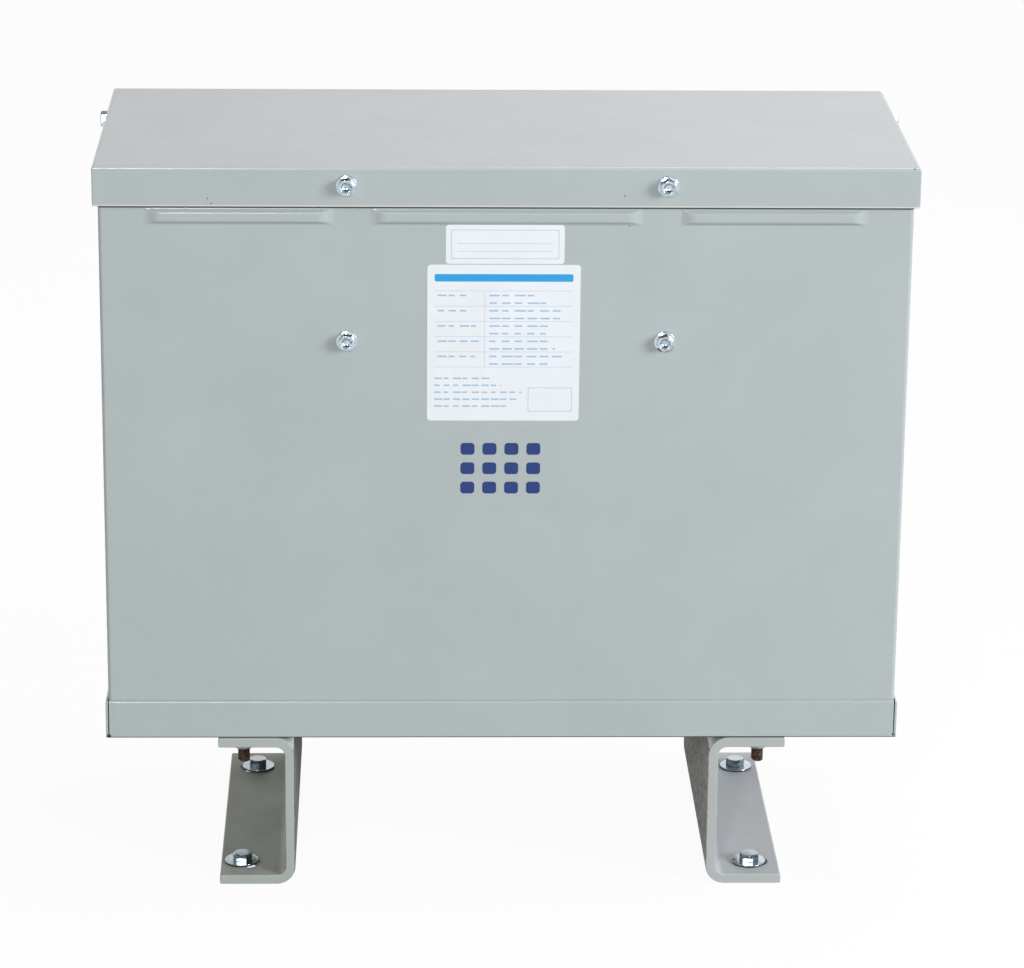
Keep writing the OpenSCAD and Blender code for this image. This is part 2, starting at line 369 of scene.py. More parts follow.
class NodeBench:
    """Adds and joins the nodes of one material, world or node group."""

    def __init__(self, tree: bpy.types.NodeTree) -> None:
        """Takes an empty or a fresh node tree and clears it."""
        self.tree = tree
        tree.nodes.clear()

    def add(self, kind: str, inputs: dict | None = None, **settings: object) -> bpy.types.Node:
        """Adds a node, sets it and feeds its inputs.

        Args:
            kind: Blender's name of the node's type.
            inputs: For each input's name or number, a plain value or another node's output.
            settings: Values of the node's own properties.

        Returns:
            The node.
        """
        node = self.tree.nodes.new(kind)
        for name, value in settings.items():
            setattr(node, name, value)
        self.feed(node, inputs or {})
        return node

    def feed(self, node: bpy.types.Node, inputs: dict) -> None:
        """Sets or joins inputs of a node.

        Args:
            node: The node.
            inputs: For each input's name or number, a plain value or another node's output.
        """
        for key, value in inputs.items():
            if isinstance(value, Socket):
                self.tree.links.new(value, node.inputs[key])
            else:
                node.inputs[key].default_value = value

    def math(self, operation: str, first: object, second: object = 0.0, third: object = 0.0) -> Socket:
        """Adds a Math node on one to three values or outputs, and gives its output."""
        return self.add("ShaderNodeMath", {0: first, 1: second, 2: third}, operation=operation).outputs[0]

    def noise(self, vector: Socket, waves: object, layers: float = 2.0, share: float = 0.5) -> Socket:
        """Adds a Noise Texture with the values of a grain, and gives its noise, which lies about 0.5."""
        inputs = {"Vector": vector, "Scale": waves, "Detail": layers, "Roughness": share}
        return self.add("ShaderNodeTexNoise", inputs).outputs[0]

    def ramp(self, value: object, start: object, stop: object, low: object = 0.0,
             high: object = 1.0) -> Socket:
        """Adds a smooth step from a low result to a high one, as a value goes from a start to a stop."""
        inputs = {"Value": value, "From Min": start, "From Max": stop, "To Min": low, "To Max": high}
        return self.add("ShaderNodeMapRange", inputs, interpolation_type="SMOOTHSTEP").outputs[0]

    def blend(self, share: object, first: object, second: object) -> Socket:
        """Adds a mix of two colours by the share of the second."""
        return self.add("ShaderNodeMix", {0: share, 6: first, 7: second}, data_type="RGBA").outputs[2]

    def place(self, group: bpy.types.NodeTree, inputs: dict) -> bpy.types.Node:
        """Places a node group with values or outputs for its named inputs."""
        return self.add("ShaderNodeGroup", inputs, node_tree=group)

    def spread(self, noise: Socket, low: float = 0.0, high: float = 1.0) -> Socket:
        """Spreads a noise over the whole of a range."""
        return self.ramp(noise, *NOISE_SPAN, low, high)

    def bump(self, height: Socket) -> Socket:
        """Adds a Bump node for a height in metres and gives its normal."""
        return self.add("ShaderNodeBump", {"Height": height, "Distance": 1.0, "Strength": 1.0}).outputs[0]

    def part(self, vector: Socket, axis: str) -> Socket:
        """Gives the X, Y or Z of a vector."""
        return self.add("ShaderNodeSeparateXYZ", {0: vector}).outputs[axis]


class Effects:
    """Shader node groups that several finishes share, each built once."""

    CLOUD = Grain(14.0, 4.0, 0.6)
    FLECK = Grain(900.0, 2.0, 0.6)
    FLECK_SHARE = 0.35
    SHEEN = Grain(30.0)
    DUST = Grain(60.0, 6.0, 0.7)
    FORMING = Grain(3500.0, 3.0, 0.6)
    ZINC_CLOUD = Grain(320.0, 3.0, 0.55)
    ZINC_SHEEN = Grain(700.0, 4.0, 0.6)
    RUST_PATCH = Grain(420.0, 5.0, 0.65)
    RUST_GRAIN = Grain(2600.0, 4.0, 0.7)
    RUST_SPAN = (0.35, 0.68)
    # Layers and share of noises whose waves follow a size that the material gives
    PEEL_LAYERS = (2.0, 0.45)
    WAVE_LAYERS = (1.0, 0.5)
    RAGGED_LAYERS = (3.0, 0.6)
    RAGGED_WAVES = 1.2
    SPOT_CORE = 0.45
    # Start, stop and least share of the dust by the slope of a face and by the patches; on the feet,
    # painted light and shade
    DUST_SLOPE = (0.1, 1.0, 0.25)
    DUST_PATCH = (0.3, 0.75, 0.65)
    # Change and least share of a dash in its cell, and the most that a row falls short
    DASH_SHARE = (0.45, 0.48)
    ROW_SHORT = 0.55
    ROW_SEED = 0.25

    def __init__(self) -> None:
        """Builds the groups."""
        self.spray = self._spray()
        self.spot = self._spot()
        self.dust_and_light = self._dust_and_light()
        self.plating = self._plating()
        self.rust = self._rust()
        self.bar = self._bar()
        self.rows = self._rows()

    @staticmethod
    def _open(name: str, inputs: dict[str, str],
              outputs: dict[str, str]) -> tuple[NodeBench, bpy.types.Node]:
        """Starts a node group.

        Args:
            name: The group's name.
            inputs: For each input's name, its kind: Vector, Float or Color.
            outputs: The same for the outputs.

        Returns:
            The bench to work on and the group's input node.
        """
        tree = bpy.data.node_groups.new(name, "ShaderNodeTree")
        for title, kind in inputs.items():
            tree.interface.new_socket(title, in_out="INPUT", socket_type=f"NodeSocket{kind}")
        for title, kind in outputs.items():
            tree.interface.new_socket(title, in_out="OUTPUT", socket_type=f"NodeSocket{kind}")
        bench = NodeBench(tree)
        return bench, bench.add("NodeGroupInput")

    def _spray(self) -> bpy.types.NodeTree:
        """Builds sprayed paint: a fine peel, slow waves of the sheet, and changes of tone and gloss.

        Returns:
            The group.
        """
        sizes = {"Vector": "Vector", "Peel": "Float", "Wave": "Float"}
        results = {"Peel": "Float", "Wave": "Float", "Tone": "Float", "Gloss": "Float"}
        bench, given = self._open("sprayed_paint", sizes, results)
        vector = given.outputs["Vector"]
        peel = bench.noise(vector, bench.math("DIVIDE", 1.0, given.outputs["Peel"]), *self.PEEL_LAYERS)
        wave = bench.noise(vector, bench.math("DIVIDE", 1.0, given.outputs["Wave"]), *self.WAVE_LAYERS)
        cloud = bench.math("MULTIPLY", bench.noise(vector, *self.CLOUD), 1 - self.FLECK_SHARE)
        both = bench.math("MULTIPLY_ADD", bench.noise(vector, *self.FLECK), self.FLECK_SHARE, cloud)
        gloss = bench.noise(vector, *self.SHEEN)
        bench.add("NodeGroupOutput", {"Peel": peel, "Wave": wave, "Tone": both, "Gloss": gloss})
        return bench.tree

    def _spot(self) -> bpy.types.NodeTree:
        """Builds a round spot with a ragged edge, for paint nibs, chips and rust.

        Returns:
            The group.
        """
        sizes = {"Vector": "Vector", "Centre": "Vector", "Radius": "Float", "Ragged": "Float"}
        bench, given = self._open("ragged_spot", sizes, {"Mask": "Float"})
        vector, radius = given.outputs["Vector"], given.outputs["Radius"]
        ends = {0: vector, 1: given.outputs["Centre"]}
        away = bench.add("ShaderNodeVectorMath", ends, operation="DISTANCE")
        waves = bench.math("DIVIDE", self.RAGGED_WAVES, radius)
        wander = bench.noise(vector, waves, *self.RAGGED_LAYERS)
        swing = bench.math("MULTIPLY", bench.math("SUBTRACT", wander, 0.5), given.outputs["Ragged"])
        reach = bench.math("MULTIPLY_ADD", swing, radius, away.outputs["Value"])
        mask = bench.ramp(reach, radius, bench.math("MULTIPLY", radius, self.SPOT_CORE))
        bench.add("NodeGroupOutput", {"Mask": mask})
        return bench.tree

    def _dust_and_light(self) -> bpy.types.NodeTree:
        """Builds dust that lies on faces that look up, thicker towards the floor; on the feet it places
        painted light and shade.

        Returns:
            The group.
        """
        sizes = {"Vector": "Vector", "Low": "Float", "High": "Float"}
        bench, given = self._open("settled_dust_and_light", sizes, {"Mask": "Float"})
        vector = given.outputs["Vector"]
        normal = bench.add("ShaderNodeNewGeometry").outputs["Normal"]
        lying = bench.ramp(bench.part(normal, "Z"), *self.DUST_SLOPE)
        near_floor = bench.ramp(bench.part(vector, "Z"), given.outputs["High"], given.outputs["Low"])
        patchy = bench.ramp(bench.noise(vector, *self.DUST), *self.DUST_PATCH)
        mask = bench.math("MULTIPLY", bench.math("MULTIPLY", lying, near_floor), patchy)
        bench.add("NodeGroupOutput", {"Mask": mask})
        return bench.tree

    def _plating(self) -> bpy.types.NodeTree:
        """Builds zinc plate: fine forming lines, a cloudy tone and changes of gloss.

        Returns:
            The group.
        """
        results = {"Grain": "Float", "Tone": "Float", "Gloss": "Float"}
        bench, given = self._open("zinc_plating", {"Vector": "Vector"}, results)
        vector = given.outputs["Vector"]
        grain = bench.noise(vector, *self.FORMING)
        cloud = bench.noise(vector, *self.ZINC_CLOUD)
        gloss = bench.noise(vector, *self.ZINC_SHEEN)
        bench.add("NodeGroupOutput", {"Grain": grain, "Tone": cloud, "Gloss": gloss})
        return bench.tree

    def _rust(self) -> bpy.types.NodeTree:
        """Builds rust: a brown that changes from dark to orange, and its grain.

        Returns:
            The group.
        """
        sizes = {"Vector": "Vector", "Dark": "Color", "Bright": "Color"}
        bench, given = self._open("rust_bloom", sizes, {"Colour": "Color", "Grain": "Float"})
        vector = given.outputs["Vector"]
        patch = bench.ramp(bench.noise(vector, *self.RUST_PATCH), *self.RUST_SPAN)
        grain = bench.noise(vector, *self.RUST_GRAIN)
        colour = bench.blend(patch, given.outputs["Dark"], given.outputs["Bright"])
        bench.add("NodeGroupOutput", {"Colour": colour, "Grain": grain})
        return bench.tree

    def _bar(self) -> bpy.types.NodeTree:
        """Builds a printed bar with round corners, on the X and Z of the front.

        Returns:
            The group.
        """
        names = ("X", "Z", "Width", "Height", "Round", "Soft")
        sizes = {"Vector": "Vector", **dict.fromkeys(names, "Float")}
        bench, given = self._open("printed_bar", sizes, {"Mask": "Float"})
        parts = bench.add("ShaderNodeSeparateXYZ", {0: given.outputs["Vector"]})
        corner = given.outputs["Round"]
        past = []
        for axis, size in (("X", "Width"), ("Z", "Height")):
            away = bench.math("SUBTRACT", parts.outputs[axis], given.outputs[axis])
            straight = bench.math("MULTIPLY_ADD", given.outputs[size], -0.5, corner)
            offset = bench.math("ADD", bench.math("ABSOLUTE", away), straight)
            past.append(bench.math("MAXIMUM", offset, 0.0))
        squares = [bench.math("MULTIPLY", value, value) for value in past]
        reach = bench.math("SQRT", bench.math("ADD", *squares))
        inner = bench.math("SUBTRACT", corner, given.outputs["Soft"])
        bench.add("NodeGroupOutput", {"Mask": bench.ramp(reach, corner, inner)})
        return bench.tree

    def _rows(self) -> bpy.types.NodeTree:
        """Builds rows of plain dashes of uneven length, inside a field of the front.

        Returns:
            The group.
        """
        names = ("Left", "Right", "Top", "Bottom", "Pitch", "Share", "Dash")
        sizes = {"Vector": "Vector", **dict.fromkeys(names, "Float")}
        bench, given = self._open("dashed_rows", sizes, {"Mask": "Float"})
        left, right, top, bottom, pitch, share, dash = (given.outputs[name] for name in names)
        parts = bench.add("ShaderNodeSeparateXYZ", {0: given.outputs["Vector"]})
        x, z = parts.outputs["X"], parts.outputs["Z"]
        down = bench.math("DIVIDE", bench.math("SUBTRACT", top, z), pitch)
        along = bench.math("DIVIDE", bench.math("SUBTRACT", x, left), dash)
        row, cell = bench.math("FLOOR", down), bench.math("FLOOR", along)
        middle = {0: bench.math("ADD", cell, 0.5), 1: bench.math("ADD", row, 0.5)}
        chance = bench.add("ShaderNodeCombineXYZ", middle)
        length = bench.add("ShaderNodeTexWhiteNoise", {"Vector": chance.outputs[0]}, noise_dimensions="2D")
        word = bench.math("MULTIPLY_ADD", length.outputs["Value"], *self.DASH_SHARE)
        seed = {"W": bench.math("ADD", row, self.ROW_SEED)}
        ends = bench.add("ShaderNodeTexWhiteNoise", seed, noise_dimensions="1D")
        reach = bench.math("MULTIPLY", bench.math("SUBTRACT", right, left), ends.outputs["Value"])
        tests = (
            bench.math("LESS_THAN", bench.math("FRACT", down), share),
            bench.math("LESS_THAN", bench.math("FRACT", along), word),
            bench.math("GREATER_THAN", x, left),
            bench.math("LESS_THAN", x, bench.math("MULTIPLY_ADD", reach, -self.ROW_SHORT, right)),
            bench.math("LESS_THAN", z, top),
            bench.math("GREATER_THAN", z, bottom),
        )
        mask = tests[0]
        for test in tests[1:]:
            mask = bench.math("MULTIPLY", mask, test)
        bench.add("NodeGroupOutput", {"Mask": mask})
        return bench.tree


@dataclass(frozen=True)
class Spot:
    """A small mark on a finish: its place in the frame and its radius."""

    place: Point
    radius: float


@dataclass(frozen=True)
class Band:
    """A level band on a finish: the height where it starts, the height where it is full, and its colour."""

    start: float
    full: float
    colour: Colour


class Finish:
    """What finishes share: the start of a material, level bands, spots and the feed of the shader."""

    @staticmethod
    def open(name: str) -> tuple[NodeBench, bpy.types.Material, bpy.types.Node, Socket]:
        """Starts a material.

        Args:
            name: The material's name.

        Returns:
            The bench, the material, its Principled shader and its Object coordinates.
        """
        material = bpy.data.materials.new(name)
        material.use_nodes = True
        bench = NodeBench(material.node_tree)
        shader = bench.add("ShaderNodeBsdfPrincipled")
        bench.add("ShaderNodeOutputMaterial", {"Surface": shader.outputs[0]})
        place = bench.add("ShaderNodeTexCoord").outputs["Object"]
        return bench, material, shader, place

    @staticmethod
    def banded(bench: NodeBench, place: Socket, colour: Socket, bands: tuple[Band, ...]) -> Socket:
        """Lays level bands over a colour.

        Args:
            bench: The material's bench.
            place: The coordinates.
            colour: The colour under the bands.
            bands: The bands.

        Returns:
            The colour with the bands.
        """
        for band in bands:
            share = bench.ramp(bench.part(place, "Z"), band.start, band.full)
            colour = bench.blend(share, colour, band.colour)
        return colour

    @staticmethod
    def spot(bench: NodeBench, effects: Effects, place: Socket, spot: Spot, ragged: float) -> Socket:
        """Places one spot and gives its mask."""
        inputs = {"Vector": place, "Centre": spot.place, "Radius": spot.radius, "Ragged": ragged}
        return bench.place(effects.spot, inputs).outputs["Mask"]

    @staticmethod
    def bloom(bench: NodeBench, effects: Effects, place: Socket, dark: Colour,
              bright: Colour) -> bpy.types.Node:
        """Places the rust with its two colours."""
        return bench.place(effects.rust, {"Vector": place, "Dark": dark, "Bright": bright})

    @staticmethod
    def dress(bench: NodeBench, shader: bpy.types.Node, colour: Socket, rough: Socket,
              height: Socket) -> None:
        """Feeds a shader with a colour, a roughness and a height."""
        bench.feed(shader, {"Base Color": colour, "Roughness": rough, "Normal": bench.bump(height)})


@dataclass(frozen=True)
class SheetPaint(Finish):
    """Semi-gloss grey paint on steel sheet or plate."""

    name: str
    light: Colour = tone(180, 189, 189)
    dark: Colour = tone(175, 184, 184)
    # Colour of dust on faces that look up near the floor; on the feet it is painted shade on the left and
    # painted light on the right.
    dust_and_light_colour: Colour = tone(150, 148, 138)
    rust_dark: Colour = tone(58, 20, 14)
    rust_bright: Colour = tone(122, 56, 30)
    peel: float = 1.5 * MM
    peel_depth: float = 0.012 * MM
    wave: float = 160 * MM
    wave_depth: float = 0.35 * MM
    nib_height: float = 0.25 * MM
    nib_ragged: float = 0.2
    rust_ragged: float = 1.4
    matting: float = 0.4
    # Painted shade: darker colour of the nibs, for the shaded side of each raised speck.
    nib_shade_colour: Colour = tone(96, 102, 102)
    gloss_low: float = 0.19
    gloss_high: float = 0.22
    gloss_span: tuple[float, float] = (0.25, 0.75)
    dust: float = 0.25
    dust_and_light_top: float = 110 * MM
    bands: tuple[Band, ...] = ()
    nibs: tuple[Spot, ...] = ()
    rust: tuple[Spot, ...] = ()

    def material(self, effects: Effects) -> bpy.types.Material:
        """Builds the paint.

        Args:
            effects: The shared node groups.

        Returns:
            The material.
        """
        bench, material, shader, place = self.open(self.name)
        spray = bench.place(effects.spray, {"Vector": place, "Peel": self.peel, "Wave": self.wave})
        # Dust on faces that look up near the floor; on the feet this places painted light and shade on the
        # flanges.
        dust_and_light = bench.place(effects.dust_and_light, {"Vector": place, "Low": 0.0, "High": self.dust_and_light_top})
        dust = bench.math("MULTIPLY", dust_and_light.outputs["Mask"], self.dust)
        colour = bench.blend(bench.spread(spray.outputs["Tone"]), self.dark, self.light)
        colour = bench.blend(dust, colour, self.dust_and_light_colour)
        rough = bench.ramp(spray.outputs["Gloss"], *self.gloss_span, self.gloss_low, self.gloss_high)
        rough = bench.math("MULTIPLY_ADD", dust, self.matting, rough)
        height = bench.math("MULTIPLY", spray.outputs["Peel"], self.peel_depth)
        height = bench.math("MULTIPLY_ADD", spray.outputs["Wave"], self.wave_depth, height)
        colour = self.banded(bench, place, colour, self.bands)
        for spot in self.nibs:
            mask = self.spot(bench, effects, place, spot, self.nib_ragged)
            height = bench.math("MULTIPLY_ADD", mask, self.nib_height, height)
            # Painted shade: each nib is darkened as well as raised.
            colour = bench.blend(mask, colour, self.nib_shade_colour)
        if self.rust:
            bloom = self.bloom(bench, effects, place, self.rust_dark, self.rust_bright)
            for spot in self.rust:
                mask = self.spot(bench, effects, place, spot, self.rust_ragged)
                colour = bench.blend(mask, colour, bloom.outputs["Colour"])
                rough = bench.math("MULTIPLY_ADD", mask, self.matting, rough)
        self.dress(bench, shader, colour, rough, height)
        return material


@dataclass(frozen=True)
class ShadedMillScale(Finish):
    """Dark rolled steel with slanted streaks, where the spray missed the feet; its darkness is also painted
    shade.
    """

    name: str
    dark: Colour = tone(96, 96, 95)
    light: Colour = tone(136, 136, 134)
    rough_low: float = 0.7
    rough_high: float = 0.9
    specular: float = 0.1
    streak: Point = (1.0, 4.5, 1.0)
    slant: float = math.radians(-20)
    streak_depth: float = 0.03 * MM
    grain: Grain = Grain(240.0, 5.0, 0.65)

    def material(self) -> bpy.types.Material:
        """Builds the scale.

        Returns:
            The material.
        """
        bench, material, shader, place = self.open(self.name)
        inputs = {"Vector": place, "Rotation": (self.slant, 0, 0), "Scale": self.streak}
        level = bench.add("ShaderNodeMapping", inputs, vector_type="TEXTURE").outputs[0]
        streaks = bench.noise(level, *self.grain)
        rough = bench.spread(streaks, self.rough_low, self.rough_high)
        height = bench.math("MULTIPLY", streaks, self.streak_depth)
        shader.inputs["Specular IOR Level"].default_value = self.specular
        colour = bench.blend(bench.spread(streaks), self.dark, self.light)
        self.dress(bench, shader, colour, rough, height)
        return material


@dataclass(frozen=True)
class ZincPlate(Finish):
    """Bright zinc plate on cold-formed steel, with rust where the plate has gone."""

    name: str
    light: Colour = tone(208, 217, 224)
    dark: Colour = tone(170, 186, 198)
    rust_dark: Colour = tone(70, 30, 20)
    rust_bright: Colour = tone(140, 70, 42)
    gloss_low: float = 0.07
    gloss_high: float = 0.15
    grain_depth: float = 0.002 * MM
    rust_ragged: float = 1.6
    rust_matting: float = 0.5
    bands: tuple[Band, ...] = ()
    rust: tuple[Spot, ...] = ()

    def material(self, effects: Effects) -> bpy.types.Material:
        """Builds the plate.

        Args:
            effects: The shared node groups.

        Returns:
            The material.
        """
        bench, material, shader, place = self.open(self.name)
        plate = bench.place(effects.plating, {"Vector": place})
        colour = bench.blend(bench.spread(plate.outputs["Tone"]), self.dark, self.light)
        rough = bench.spread(plate.outputs["Gloss"], self.gloss_low, self.gloss_high)
        shader.inputs["Metallic"].default_value = 1.0
        colour = self.banded(bench, place, colour, self.bands)
        if self.rust:
            bloom = self.bloom(bench, effects, place, self.rust_dark, self.rust_bright)
            bare: object = 0.0
            for spot in self.rust:
                bare = bench.math("MAXIMUM", bare, self.spot(bench, effects, place, spot, self.rust_ragged))
            colour = bench.blend(bare, colour, bloom.outputs["Colour"])
            rough = bench.math("MULTIPLY_ADD", bare, self.rust_matting, rough)
            bench.feed(shader, {"Metallic": bench.math("SUBTRACT", 1.0, bare)})
        height = bench.math("MULTIPLY", plate.outputs["Grain"], self.grain_depth)
        self.dress(bench, shader, colour, rough, height)
        return material


@dataclass(frozen=True)
class RustyThread(Finish):
    """Dark steel thread with a film of rust."""

    name: str = "rusty_thread"
    dark: Colour = tone(40, 32, 26)
    bright: Colour = tone(118, 92, 70)
    rough_low: float = 0.5
    rough_high: float = 0.85
    grain_depth: float = 0.03 * MM
    metallic: float = 0.35

    def material(self, effects: Effects) -> bpy.types.Material:
        """Builds the thread's finish.

        Args:
            effects: The shared node groups.

        Returns:
            The material.
        """
        bench, material, shader, place = self.open(self.name)
        bloom = self.bloom(bench, effects, place, self.dark, self.bright)
        rough = bench.spread(bloom.outputs["Grain"], self.rough_low, self.rough_high)
        height = bench.math("MULTIPLY", bloom.outputs["Grain"], self.grain_depth)
        shader.inputs["Metallic"].default_value = self.metallic
        self.dress(bench, shader, bloom.outputs["Colour"], rough, height)
        return material


@dataclass(frozen=True)
class PottedResin(Finish):
    """Cast resin with silica sand, which fills the case."""

    name: str = "potted_resin"
    dark: Colour = tone(70, 68, 62)
    bright: Colour = tone(122, 118, 108)
    grain_depth: float = 0.4 * MM
    sand: Grain = Grain(700.0, 5.0, 0.7)
    pour: Grain = Grain(25.0, 3.0)
    sand_share: float = 0.6
    rough_low: float = 0.6
    rough_high: float = 0.85

    def material(self, effects: Effects) -> bpy.types.Material:
        """Builds the resin.

        Args:
            effects: The shared node groups; not used.

        Returns:
            The material.
        """
        bench, material, shader, place = self.open(self.name)
        sand = bench.noise(place, *self.sand)
        pour = bench.noise(place, *self.pour)
        rest = bench.math("MULTIPLY", pour, 1 - self.sand_share)
        share = bench.math("MULTIPLY_ADD", sand, self.sand_share, rest)
        colour = bench.blend(bench.spread(share), self.dark, self.bright)
        rough = bench.spread(pour, self.rough_low, self.rough_high)
        self.dress(bench, shader, colour, rough, bench.math("MULTIPLY", sand, self.grain_depth))
        return material


@dataclass(frozen=True)
class PrintedBar:
    """A plain printed bar or frame line: its middle and size on the front, and its corner radius."""

    x: float
    z: float
    width: float
    height: float
    corner: float = 0.2 * MM
    line: float = 0.0


@dataclass(frozen=True)
class DashedRows:
    """A field of plain dashed rows: its edges on the front, and the rows' pitch, height and dash length."""

    left: float
    right: float
    top: float
    bottom: float
    pitch: float
    share: float = 0.3
    dash: float = 7.0 * MM


@dataclass(frozen=True)
class PrintedFilm(Finish):
    """Adhesive film with a plain print of bars and dashed rows."""

    name: str
    base: Colour = tone(238, 242, 245)
    shade: Colour = tone(234, 238, 242)
    solid_ink: Colour = tone(40, 160, 222)
    fine_ink: Colour = tone(158, 192, 220)
    base_alpha: float = 1.0
    gloss_low: float = 0.28
    gloss_high: float = 0.4
    ink_edge: float = 0.08 * MM
    cloud: Grain = Grain(40.0, 4.0, 0.6)
    solid: tuple[PrintedBar, ...] = ()
    fine: tuple[PrintedBar, ...] = ()
    rows: tuple[DashedRows, ...] = ()

    def material(self, effects: Effects) -> bpy.types.Material:
        """Builds the film.

        Args:
            effects: The shared node groups.

        Returns:
            The material.
        """
        bench, material, shader, place = self.open(self.name)
        cloud = bench.noise(place, *self.cloud)
        colour = bench.blend(bench.spread(cloud), self.base, self.shade)
        rough = bench.spread(cloud, self.gloss_low, self.gloss_high)
        fine = [self._bar(bench, effects, place, bar) for bar in self.fine]
        fine += [self._rows(bench, effects, place, rows) for rows in self.rows]
        solid = [self._bar(bench, effects, place, bar) for bar in self.solid]
        for masks, ink in ((fine, self.fine_ink), (solid, self.solid_ink)):
            if masks:
                colour = bench.blend(self._join(bench, masks), colour, ink)
        bench.feed(shader, {"Base Color": colour, "Roughness": rough})
        if self.base_alpha < 1.0:
            covered = bench.math("MAXIMUM", self._join(bench, fine + solid), self.base_alpha)
            bench.feed(shader, {"Alpha": covered})
        return material

    @staticmethod
    def _join(bench: NodeBench, masks: list[Socket]) -> Socket:
        """Joins masks into one that covers all of them.

        Args:
            bench: The material's bench.
            masks: The masks.

        Returns:
            The joined mask.
        """
        joined = masks[0]
        for mask in masks[1:]:
            joined = bench.math("MAXIMUM", joined, mask)
        return joined

    def _bar(self, bench: NodeBench, effects: Effects, place: Socket, bar: PrintedBar) -> Socket:
        """Places one printed bar, or a frame line where the bar has a line width.

        Args:
            bench: The material's bench.
            effects: The shared node groups.
            place: The coordinates.
            bar: The bar.

        Returns:
            The bar's mask.
        """
        size = {"Vector": place, "X": bar.x, "Z": bar.z, "Round": bar.corner, "Soft": self.ink_edge}
        mask = bench.place(effects.bar, {**size, "Width": bar.width, "Height": bar.height}).outputs["Mask"]
        if bar.line:
            inner = {"Width": bar.width - 2 * bar.line, "Height": bar.height - 2 * bar.line}
            hole = bench.place(effects.bar, {**size, **inner}).outputs["Mask"]
            mask = bench.math("SUBTRACT", mask, hole)
        return mask

    @staticmethod
    def _rows(bench: NodeBench, effects: Effects, place: Socket, rows: DashedRows) -> Socket:
        """Places one field of dashed rows.

        Args:
            bench: The material's bench.
            effects: The shared node groups.
            place: The coordinates.
            rows: The field.

        Returns:
            The field's mask.
        """
        inputs = {
            "Vector": place, "Left": rows.left, "Right": rows.right, "Top": rows.top, "Bottom": rows.bottom,
            "Pitch": rows.pitch, "Share": rows.share, "Dash": rows.dash,
        }
        return bench.place(effects.rows, inputs).outputs["Mask"]


def hand_over(piece: bpy.types.Object, material: bpy.types.Material, slot: Slot | None = None,
              *nodes: str) -> None:
    """Gives a finished piece its material and ties it to the CAD frame.

    Args:
        piece: The finished piece.
        material: Its finish.
        slot: The record's slot; not used.
        nodes: CAD nodes that it stands for.
    """
    piece.data.materials.clear()
    piece.data.materials.append(material)
    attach(piece, BODY)
    if nodes:
        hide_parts(*nodes)
    LOG.info("%s: %d faces, %s", piece.name, len(piece.data.polygons), material.name)


